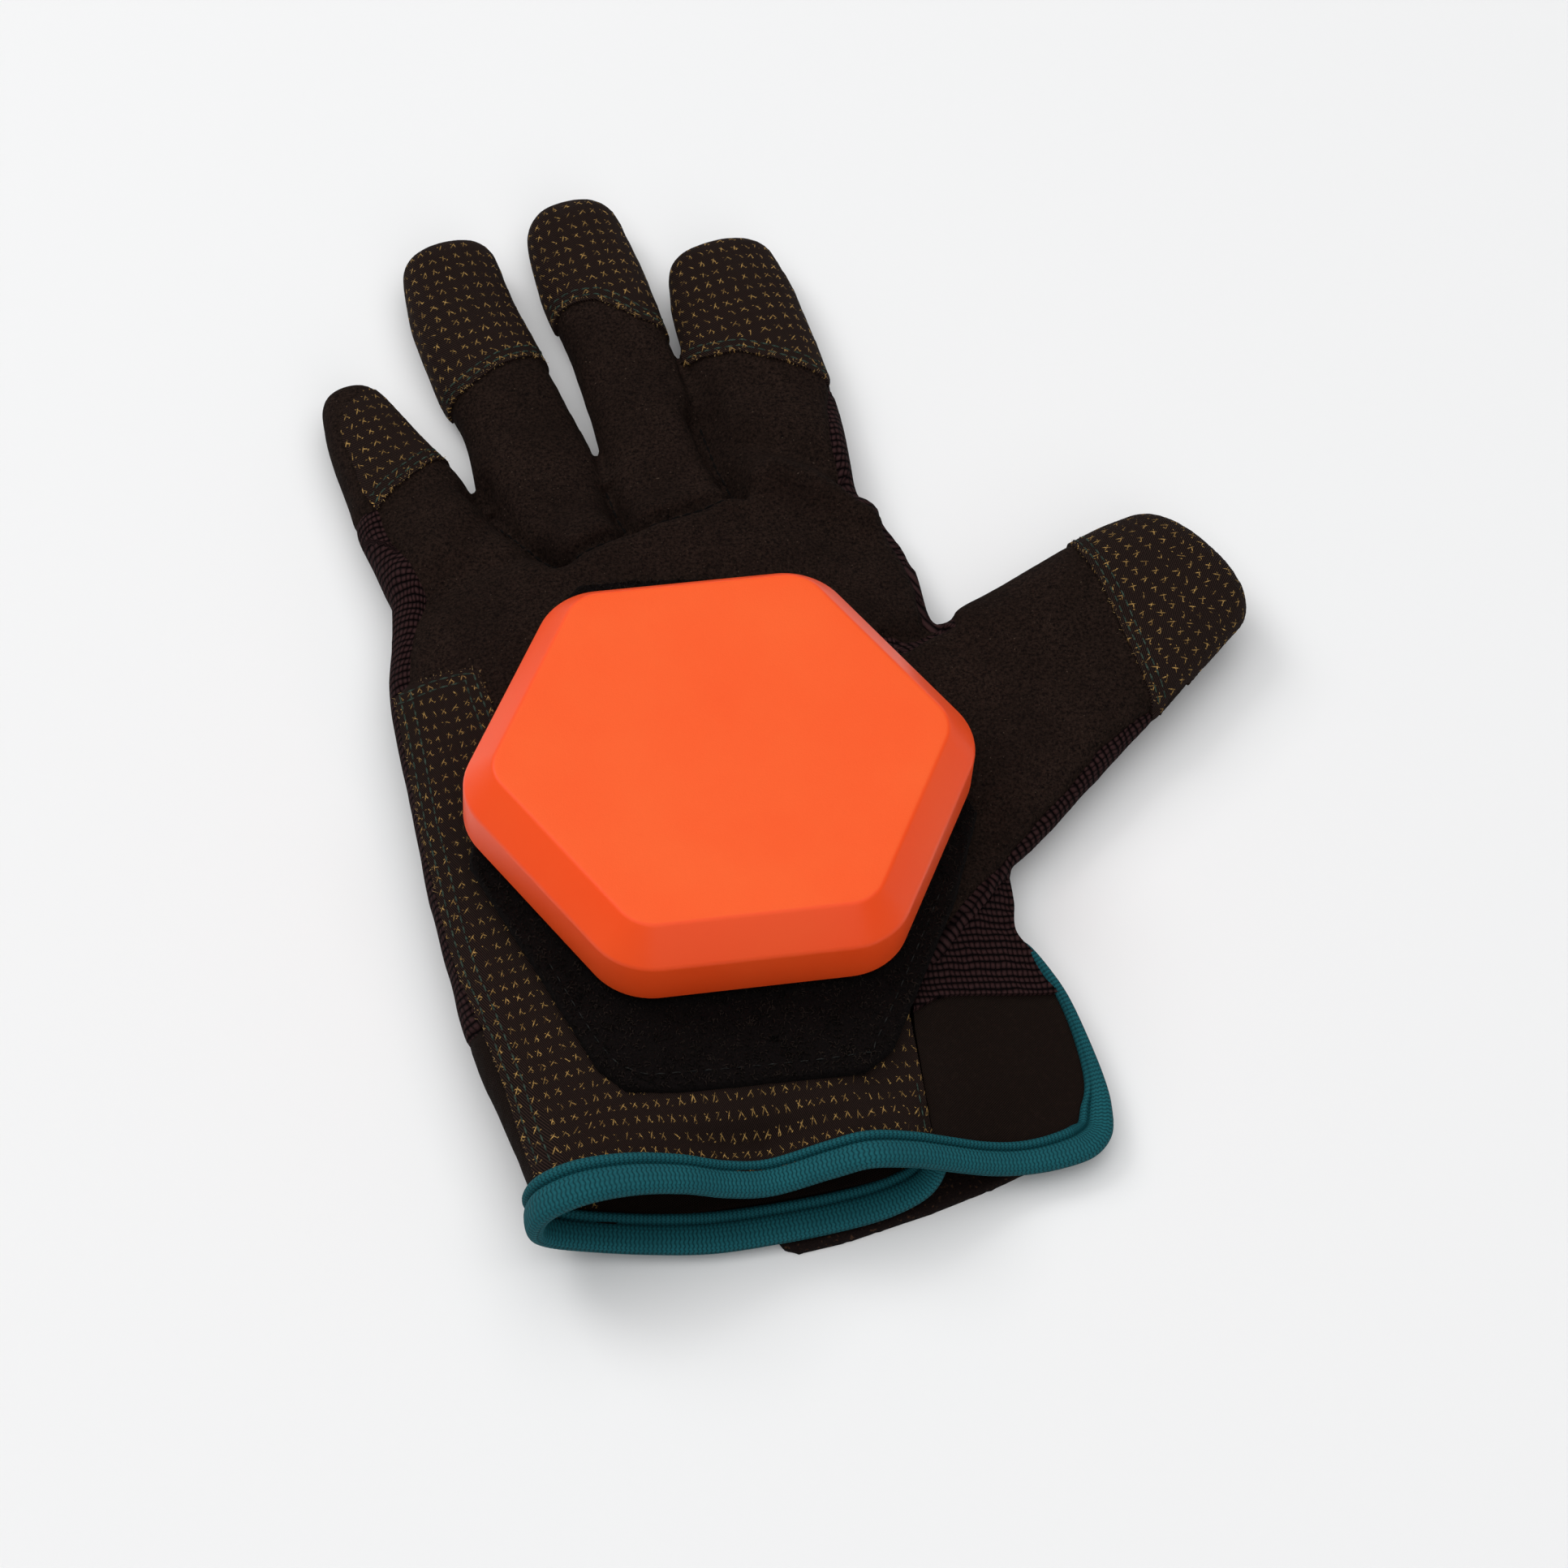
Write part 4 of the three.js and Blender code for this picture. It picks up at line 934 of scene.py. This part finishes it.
ARAMID_CLOTH = aramid_finish()
GREEN_THREAD = thread_finish("dark green thread", paint(20, 30, 27), paint(64, 80, 70))
TAN_FIBRE = thread_finish("tan aramid fibre", paint(110, 84, 50), paint(215, 180, 122))
for name in ARAMID:
    points, triangles, normals = patch_of(name)
    mapped = cloth_map(points, False, ["hand" if name == "heel_panel" else name[:-4]])
    if name == "heel_panel":
        mapped = mapped * HEEL_STRETCH
    piece = object_from(name + "_aramid", *shell(points, triangles, normals, ARAMID_LIFT, CLOTH))
    crisp(dress(piece, ARAMID_CLOTH, "aramid_cloth", name, cloth=np.concatenate([mapped, mapped])))
TIP_ROWS = (1.3, 2.9)  # the two rows of topstitching, from the raw edge
for name, seam in TIP_SEAMS.items():
    rows = [moved_line(seam, distance) for distance in TIP_ROWS]
    sewn_rows(name + "_tip_topstitch", rows, ARAMID_LIFT, GREEN_THREAD, "aramid_cloth", name + "_tip")
    edge = on_glove(moved_line(seam, 0.3), ARAMID_LIFT * 0.7, name + "_tip")
    frayed(name + "_tip_fibres", edge, TAN_FIBRE, 90, 0.9, name)
heel_rows = [moved_line(ULNAR_EDGE, distance) for distance in (1.2, 3.2)]
heel_rows += [moved_line(HEEL_TOP, distance) for distance in (-1.3, -3.3)]
sewn_rows("heel_topstitch", heel_rows, ARAMID_LIFT, GREEN_THREAD, "aramid_cloth", "heel_panel")
raw_edges = [on_glove(moved_line(HEEL_TOP, -0.3), ARAMID_LIFT * 0.7, "heel_panel"),
             on_glove(moved_line(ULNAR_EDGE, 0.3), ARAMID_LIFT * 0.7, "heel_panel")]
frayed("heel_fibres", np.concatenate(raw_edges), TAN_FIBRE, 320, 0.8, 8)
for number, corner in enumerate(((-56, 40.6), (-40, 39.4))):
    tuft = on_glove([corner, (corner[0] + 0.8, corner[1])], ARAMID_LIFT, "heel_panel")
    if len(tuft) > 1:
        frayed("heel_tuft_%d" % number, tuft, TAN_FIBRE, 40, 1.5, number)
RADIAL_EDGE = [(26.1, -63), (25.8, -73)]
sewn_rows("heel_side_topstitch", [moved_line(RADIAL_EDGE, -0.9)], ARAMID_LIFT, GREEN_THREAD, "aramid_cloth",
          "heel_panel", radius=0.13)

# Smooth stretch cloth: a close fine knit round the back of the wrist, and the flap beyond the slit
# that the strap pulls over.


def stretch_finish():
    made = Finish("smooth stretch cloth", roughness=0.88, specular_ior_level=0.05)
    across, along, _ = made.cloth()
    wale = made.sum("SINE", made.sum("MULTIPLY", across, 2 * math.pi / 0.5))
    row = made.sum("SINE", made.sum("MULTIPLY", along, 2 * math.pi / 0.44))
    knit = made.sum("MULTIPLY_ADD", made.sum("MULTIPLY", wale, row), 0.5, 0.5)
    fuzz = made.grain(1.2, 4, 0.7)
    base = made.mix(knit, paint(14, 9, 8), paint(35, 25, 20))
    made.colour(made.mix(made.remap(fuzz, 0.5, 0.75, 0, 0.45), base, paint(38, 27, 22)))
    made.relief(made.sum("ADD", knit, made.sum("MULTIPLY", fuzz, 0.6)), 0.16, 0.9)
    return made.material


STRETCH = stretch_finish()
points, triangles, normals = patch_of("wrist_back")
mapped = cloth_map(points, True, ["hand"])
piece = object_from("wrist_back_cloth", *shell(points, triangles, normals, 0.0, CLOTH))
crisp(dress(piece, STRETCH, "smooth_stretch_cloth", "wrist_back", cloth=np.concatenate([mapped, mapped])))

rows = flap_grid(FLAP_SEAM - 0.01, 1.0, 48, 44)
share = np.linspace(0, 1, rows.shape[1])[None, :]
rows[..., 2] += 0.35 * np.sin(share * math.pi) * lumps(rows.reshape(-1, 3), 9, 9).reshape(rows.shape[:2])
points, triangles, normals = grid_patch(rows)
wrist_panel = object_from("wrist_panel_cloth", *shell(points, triangles, normals, 0.0, CLOTH))
crisp(dress(wrist_panel, STRETCH, "smooth_stretch_cloth", "wrist_panel",
            cloth=np.concatenate([points[:, :2], points[:, :2]])))

# Binding: one elastic tape folded over the raw edge, all round the flap, the palm's edge, the fold
# and the lower layer. It makes a fat roll, a sewn groove and a narrow raised rim.
BINDING = [  # x, y, z of the outer edge, way into the cloth in degrees, width, thickness, share of groove
    (50.4, -32.4, 8.6, 135, 1.8, 1.7, 0), (52.9, -35.3, 9.0, 125, 2.0, 1.9, 0),
    (55.6, -41.2, 9.0, 110, 2.0, 2.0, 0), (57.7, -47, 8.4, 105, 2.1, 2.1, 0),
    (59.4, -55, 7.4, 97, 2.6, 2.3, 0), (60.7, -63, 6.2, 92, 3.8, 2.6, 0.1),
    (61.0, -68.6, 5.2, 84, 5.8, 3.1, 1), (59.8, -74.5, 5.0, 62, 6.8, 3.1, 1),
    (56, -78.2, 5.0, 30, 7.4, 3.1, 1),
    (50, -79.6, 5.1, 10, 7.0, 3.1, 1), (43, -79.9, 5.4, 0, 6.6, 3.2, 1), (36, -79.9, 7.5, 0, 6.6, 3.4, 1),
    (28, -79.9, 12, 0, 6.8, 3.6, 1), (22, -80.1, 15.8, 0, 7.0, 3.6, 1), (14, -80.2, 18.6, 0, 7.2, 3.6, 1),
    (7, -80.2, 17.2, 0, 7.2, 3.6, 1), (-4, -80.2, 14.3, 0, 7.0, 3.6, 1), (-12, -80.2, 16.2, 0, 7.2, 3.6, 1),
    (-20, -80.2, 20.6, 0, 7.6, 3.6, 1), (-29, -80.6, 23.9, 0, 8.2, 3.6, 1), (-38, -81, 24, 0, 8.8, 3.6, 1),
    (-44.8, -81.2, 20.4, 0, 9.0, 3.6, 1), (-47, -81, 14, 0, 9.0, 3.6, 1), (-44.6, -80.6, 9.2, 0, 8.4, 3.6, 1),
    (-37, -81.2, 5.8, 0, 8.0, 3.6, 1), (-27, -82.8, 4.2, 0, 8.0, 3.4, 1), (-16, -84.2, 3.3, 0, 8.2, 3.2, 1),
    (-4, -84.4, 3.2, 0, 8.0, 3.1, 1), (8, -84, 3.4, 0, 7.8, 3.1, 1), (17, -83.2, 4.2, 6, 7.6, 3.1, 1),
    (24, -81.4, 5.8, 22, 7.0, 3.1, 1), (27.6, -78.8, 8.6, 45, 6.0, 2.9, 1),
    (28.2, -76.2, 11, 60, 4.8, 2.7, 1),
]
# Across from the outer to the inner edge, and height of the upper side with and without the sewn groove
BINDING_PROFILE = [
    (-1, 0, 0), (-0.96, 0.4, 0.4), (-0.84, 0.74, 0.66), (-0.6, 0.96, 0.84), (-0.25, 1.0, 0.96),
    (0.05, 0.92, 1),
    (0.28, 0.7, 0.98), (0.38, 0.4, 0.95), (0.43, 0.16, 0.93), (0.47, 0.16, 0.91), (0.52, 0.5, 0.88),
    (0.62, 0.76, 0.84), (0.76, 0.82, 0.74), (0.9, 0.62, 0.55), (1, 0.3, 0.2),
]
RIB = 0.82
BINDING_STEP = 0.2


def binding_finish():
    made = Finish("teal elastic binding", roughness=0.78, specular_ior_level=0.12)
    across, along, _ = made.cloth()
    wave = made.sum("MULTIPLY", made.sum("SINE", made.sum("MULTIPLY", across, 2 * math.pi / 0.9)), 0.12)
    ribs = made.sum("ABSOLUTE", made.sum("SINE", made.sum("MULTIPLY", made.sum("ADD", along, wave),
                                                          math.pi / RIB)))
    loops = made.sum("ABSOLUTE", made.sum("SINE", made.sum("MULTIPLY", across, math.pi / 0.55)))
    height = made.sum("MULTIPLY", made.sum("POWER", ribs, 0.5), made.sum("MULTIPLY_ADD", loops, 0.25, 0.75))
    patches = made.grain(9, 3, 0.5)
    base = made.mix(height, paint(4, 36, 42), paint(26, 94, 102))
    made.colour(made.mix(made.remap(patches, 0.3, 0.7, 0, 0.35), base, paint(18, 70, 78)))
    made.relief(made.sum("ADD", height, made.sum("MULTIPLY", made.grain(0.3), 0.25)), 0.2, 0.9)
    return made.material


def binding_strip():
    """Points, faces and cloth map of the binding, with its cross ribs raised in the mesh."""
    rows = np.array([between(BINDING, t) for t in np.linspace(0, 1, 900)])
    length = np.concatenate([[0], np.cumsum(np.linalg.norm(np.diff(rows[:, :3], axis=0), axis=1))])
    wanted = np.arange(0, length[-1], BINDING_STEP)
    rows = np.stack([np.interp(wanted, length, rows[:, k]) for k in range(7)], 1)
    uneven = lumps(rows[:, :3], 7, 21)
    ribs = np.abs(np.sin(wanted * math.pi / RIB)) ** 0.6
    rings, cloth = [], []
    upper = np.array([between(BINDING_PROFILE, t) for t in np.linspace(0, 1, 31)])
    for i, (x, y, z, turn, width, thick, groove) in enumerate(rows):
        ahead = rows[min(i + 4, len(rows) - 1), :3] - rows[max(i - 4, 0), :3]
        ahead = ahead / np.linalg.norm(ahead)
        turn = math.radians(turn)
        inward = np.array([-math.sin(turn), math.cos(turn), 0])
        inward = inward - ahead * (inward @ ahead)
        inward = inward / np.linalg.norm(inward)
        normal = np.cross(inward, ahead)
        swell = 1 + 0.05 * uneven[i] - 0.055 * (1 - ribs[i])
        end = min(i, len(rows) - 1 - i) * BINDING_STEP
        close = math.sqrt(min(end / 1.6, 1)) * 0.98 + 0.02
        heights = upper[:, 1] * groove + upper[:, 2] * (1 - groove)
        profile = [*zip(upper[:, 0], heights), *zip(upper[:0:-1, 0], -heights[:0:-1])]
        ring = [np.array([x, y, z]) + inward * (width / 2 * (1 + across * close))
                + normal * (thick / 2 * height * swell * close) for across, height in profile]
        rings.append(ring)
        cloth += [(j * 0.35, wanted[i]) for j in range(len(profile))]
    return *loft(rings), np.array(cloth)


points, faces, cloth = binding_strip()
piece = object_from("cuff_binding_tape", points, faces)
dress(piece, binding_finish(), "teal_binding", "cuff_binding", cloth=cloth)

# Strap: the end of the closing strap, which shows under the cuff: a flat strip of dark cloth with
# brown flecks and rounded edges, sewn under the flap and laid across the back of the wrist.
STRAP = [(-4, -82.2), (-3, -84.4), (-0.5, -85.6), (8, -85), (24, -82.2), (36, -79.4), (46, -76.4),
         (46, -54), (43, -52.5), (0, -60), (-3.4, -62)]
STRAP_THICK = 1.9


def cut_out(outline, grain, place, thick, rounding):
    """A flat piece cut to an outline, with rounded upper edges. place gives its underside."""
    corners = np.array(outline, float)
    low, high = corners.min(0) - 1, corners.max(0) + 1
    xs, ys = (np.arange(low[k], high[k], grain) for k in range(2))
    grid = np.array([[(x, y, 0.0) for x in xs] for y in ys])
    points, triangles, _ = grid_patch(grid)
    points, triangles = split(points, triangles, lambda p: inside(outline, p))
    points, triangles = split(points, triangles, lambda p: inside(outline, p) - rounding * 0.4)
    triangles = triangles[inside(outline, points[triangles].mean(1)) > 0]
    used, where = np.unique(triangles, return_inverse=True)
    points, triangles = points[used], where.reshape(-1, 3)
    depth = np.clip(inside(outline, points) / rounding, 0, 1)
    height = (thick - rounding) + rounding * np.sqrt(1 - (1 - depth) ** 2)
    base, normal = place(points)
    rim = rim_of(triangles)
    under = len(points)
    sides = np.concatenate([np.stack([rim[:, 1], rim[:, 0], rim[:, 0] + under], 1),
                            np.stack([rim[:, 1], rim[:, 0] + under, rim[:, 1] + under], 1)])
    both = np.concatenate([base + normal * height[:, None], base])
    return both, np.concatenate([triangles, triangles[:, ::-1] + under, sides]), points


def on_floor(points):
    base = points.copy()
    base[:, 2] = 0.05
    return base, np.array([0, 0, 1.0])


def strap_finish():
    made = Finish("strap cloth", roughness=0.9, specular_ior_level=0.05)
    fuzz = made.grain(0.5, 3, 0.7)
    specks = made.remap(made.grain(0.9, 2, 0.5), 0.6, 0.7)
    base = made.mix(fuzz, paint(12, 9, 9), paint(34, 24, 22))
    made.colour(made.mix(made.sum("MULTIPLY", specks, 0.7), base, paint(74, 52, 38)))
    made.relief(fuzz, 0.4, 1.0)
    return made.material


points, faces, plan = cut_out(STRAP, 0.9, on_floor, STRAP_THICK, 0.8)
strap = object_from("closure_strap_cloth", points, faces)
dress(strap, strap_finish(), "strap_cloth", "closure_strap")

# Loop patch: black brushed loop pile, cut to a long hexagon and sewn flat on the palm with one row of
# grey black thread. Its loops stand up where the puck leaves it bare, and the hook tape grips it.
PATCH_THICK = 1.6
PATCH_LIFT = 0.3
PUCK_RADIUS = 50
PUCK_TURN = -0.95


def on_palm(lift):
    def place(points):
        base = points.copy()
        base[:, 2] = palm_plane(points, lift)
        return base, PALM_NORMAL
    return place


def hexagon(radius, corner, arc_steps=6):
    """A hexagon with rounded corners, radius from the centre to the sharp corner."""
    centre = radius - corner / math.cos(math.pi / 6)
    points = []
    for side in range(6):
        to_corner = math.radians(PUCK_TURN + side * 60)
        for k in range(arc_steps + 1):
            angle = to_corner + (k / arc_steps - 0.5) * math.pi / 3
            points.append((centre * math.cos(to_corner) + corner * math.cos(angle),
                           centre * math.sin(to_corner) + corner * math.sin(angle)))
    return points


def pile_finish(name, dark, light):
    made = Finish(name, roughness=1.0, specular_ior_level=0.08)
    fuzz = made.grain(0.45, 4, 0.75)
    made.colour(made.mix(made.remap(fuzz, 0.3, 0.75), dark, light))
    made.relief(made.sum("ADD", fuzz, made.grain(1.4)), 0.7, 1.0)
    return made.material


def pile_loops(count, seed):
    """Small arches of fibre standing on the patch where the puck leaves it bare."""
    draw = random.Random(seed)
    spots = np.array([(draw.uniform(-48, 48), draw.uniform(-62, 55), 0.0) for _ in range(count)])
    bare = (inside(LOOP_PATCH, spots) > 0.3) & (inside(hexagon(PUCK_RADIUS, 13), spots) < 7)
    base, normal = on_palm(PATCH_LIFT + PATCH_THICK - 0.25)(spots[bare])
    points, faces = [], []
    for spot in base:
        angle = draw.uniform(0, 2 * math.pi)
        way = np.array([math.cos(angle), math.sin(angle), 0])
        side = np.array([-way[1], way[0], 0])
        wide, tall = draw.uniform(0.25, 0.6), draw.uniform(0.35, 0.85)
        lean = side * draw.uniform(-0.4, 0.4)
        rings = []
        for s in np.linspace(0, 1, 5):
            rise = math.sin(math.pi * s)
            middle = spot + way * wide * (s * 2 - 1) + normal * tall * rise + lean * rise
            thin = 0.1
            rings.append([middle + side * thin, middle - side * thin, middle + (way + normal) * thin])
        made, made_faces = loft(rings)
        faces += [tuple(i + len(points) for i in face) for face in made_faces]
        points += list(made)
    return points, faces


PILE = pile_finish("black loop pile", paint(5, 4, 4), paint(25, 19, 18))
points, faces, plan = cut_out(LOOP_PATCH, 0.8, on_palm(PATCH_LIFT), PATCH_THICK, 1.1)
uneven = 0.22 * lumps(plan, 1.3, 31) + 0.2 * lumps(plan, 5, 32)
points[:len(plan)] += PALM_NORMAL * uneven[:, None]
crisp(dress(object_from("loop_patch_pile", points, faces), PILE, "loop_pile", "loop_patch"), 70)
LOOPS = thread_finish("brushed loops", paint(6, 5, 4), paint(42, 34, 30), 2.5)
dress(object_from("loop_patch_loops", *pile_loops(16000, 77)), LOOPS, "loop_pile")
PATCH_SEAM = [(-37, -30), (-30, -50), (-25, -56), (-17, -57.6), (15, -58.6), (20, -55), (38, -25)]
line = np.array([between(PATCH_SEAM, t) for t in np.linspace(0, 1, 700)])
line, _ = on_palm(PATCH_LIFT + PATCH_THICK + 0.15)(np.column_stack([line, line[:, 0] * 0]))
PATCH_THREAD = thread_finish("grey black thread", paint(14, 15, 15), paint(46, 47, 45))
dress(object_from("loop_patch_topstitch", *thread_row(line, 1.6, 1.3, 0.12)), PATCH_THREAD, "loop_pile")

# Hook pad: stiff black hook tape glued to the back of the puck. Its rows of small hooks are pressed
# into the pile, so only its edge can be seen from the side.
HOOK_LIFT = 2.2
HOOK_THICK = 1.3
points, faces, plan = cut_out(hexagon(43, 8), 1.2, on_palm(HOOK_LIFT), HOOK_THICK, 0.3)
HOOK = pile_finish("black hook tape", paint(8, 7, 7), paint(30, 27, 26))
crisp(dress(object_from("hook_pad_tape", points, faces), HOOK, "hook_tape", "hook_pad"))

# Puck: one thick moulded plate of hard plastic, a hexagon with rounded corners and a broad bevel.
# Its top face is finely grained, its bevels and walls are satin and painted a deeper orange as shade, and the
# edges are slightly soft.
PUCK_CORNER = 13
PUCK_WALL = 9.7
PUCK_BEVEL_IN = 5.5
PUCK_BEVEL_UP = 6.6
PUCK_LIFT = 3.8
PUCK_EDGE = 0.7


def puck_levels():
    """Inset and height up the side: a soft lower edge, the wall, the bevel, the soft upper edge."""
    slope = math.atan2(PUCK_BEVEL_UP, PUCK_BEVEL_IN)
    corners = [(0, 0), (0, PUCK_WALL), (PUCK_BEVEL_IN, PUCK_WALL + PUCK_BEVEL_UP)]
    ways = [(-1, 0), (0, 1), (math.cos(slope), math.sin(slope)), (1, 0)]
    levels = [(PUCK_EDGE + 1, 0)]
    for (inset, height), before, after in zip(corners, ways, ways[1:]):
        for s in np.linspace(0, 1, 6):
            back, on = (1 - s) ** 2 * PUCK_EDGE, s**2 * PUCK_EDGE
            levels.append((inset - before[0] * back + after[0] * on,
                           height - before[1] * back + after[1] * on))
    return levels


def puck_body():
    levels = puck_levels()
    top = levels[-1][1]
    levels += [(inset, top) for inset in (9, 14, 20, 27, 34)]
    rings = []
    for inset, height in levels:
        corner = max(PUCK_CORNER - inset, 1.5)
        outline = hexagon(PUCK_RADIUS - inset / math.cos(math.pi / 6), corner, 12)
        rings.append([(x, y, height) for x, y in outline])
    points, faces = loft(rings)
    lean = Vector((0, 0, 1)).rotation_difference(Vector(PALM_NORMAL)).to_matrix()
    base = PALM_NORMAL * PUCK_LIFT + np.array([0, 0, PALM_HEIGHT])
    return points @ np.array(lean).T + base, faces


def puck_finish():
    made = Finish("orange moulded plastic", roughness=0.42, specular_ior_level=0.25,
                  subsurface_weight=0.05)
    made.shader.inputs["Subsurface Radius"].default_value = (0.004, 0.0012, 0.0006)
    made.shader.inputs["Subsurface Scale"].default_value = 1.0
    up = made.add("VectorMath", {0: made.add("NewGeometry", output=1), 1: tuple(PALM_NORMAL)},
                  output=1, operation="DOT_PRODUCT")
    on_top = made.remap(up, 0.93, 0.99)
    cloudy = made.grain(22, 3, 0.5)
    # The deeper red-orange of the bevels and walls, mixed in by how far a face turns from up, is painted
    # shade for the sides turned away from the overhead light.
    top = made.mix(made.remap(cloudy, 0.3, 0.7), paint(254, 90, 30), paint(255, 97, 37))
    side = made.mix(made.remap(cloudy, 0.3, 0.7), paint(255, 80, 26), paint(255, 86, 32))
    grain = made.grain(0.35, 3, 0.65)
    made.colour(made.mix(on_top, side, top))
    dull = made.sum("ADD", made.sum("MULTIPLY", on_top, 0.6), made.sum("MULTIPLY", cloudy, 0.3))
    made.roughness(made.remap(dull, 0, 1, 0.36, 0.62))
    made.relief(made.sum("MULTIPLY", grain, made.remap(on_top, 0, 1, 0.25, 1)), 0.09, 0.6)
    return made.material


puck = object_from("puck_plate", *puck_body())
crisp(dress(puck, puck_finish(), "orange_plastic", "puck"), 24)

# The stage: a white table and soft light, most of it from a large cloth overhead and some from the
# upper left, so that the shadows fall short and soft to the lower right.
FLOOR_HALF = 3.0
floor = object_from("floor", [(-FLOOR_HALF, -FLOOR_HALF, 0), (FLOOR_HALF, -FLOOR_HALF, 0),
                              (FLOOR_HALF, FLOOR_HALF, 0), (-FLOOR_HALF, FLOOR_HALF, 0)], [(0, 1, 2, 3)], 1)
table_top = Finish("white table", roughness=0.9, specular_ior_level=0.1, base_color=(0.92, 0.92, 0.92, 1))
floor.data.materials.append(table_top.material)


def soft_light(name, place, size, energy):
    lamp = bpy.data.lights.new(name, "AREA")
    lamp.shape = "SQUARE"
    lamp.size = size
    lamp.energy = energy
    light = bpy.data.objects.new(name, lamp)
    light.location = place
    light.rotation_euler = (Vector((0, 0, 0)) - Vector(place)).to_track_quat("-Z", "Y").to_euler()
    bpy.context.scene.collection.objects.link(light)


soft_light("overhead", (-0.05, 0.15, 1.8), 3.0, 35)
soft_light("upper_left", (-1.15, 1.4, 1.7), 1.1, 15)
soft_light("front", (0.3, -1.7, 1.3), 1.4, 8)
world = bpy.context.scene.world or bpy.data.worlds.new("studio")
bpy.context.scene.world = world
world.use_nodes = True
world.node_tree.nodes["Background"].inputs[0].default_value = (0.9, 0.92, 0.95, 1)
world.node_tree.nodes["Background"].inputs[1].default_value = 0.18
bpy.context.scene.view_settings.view_transform = "Standard"
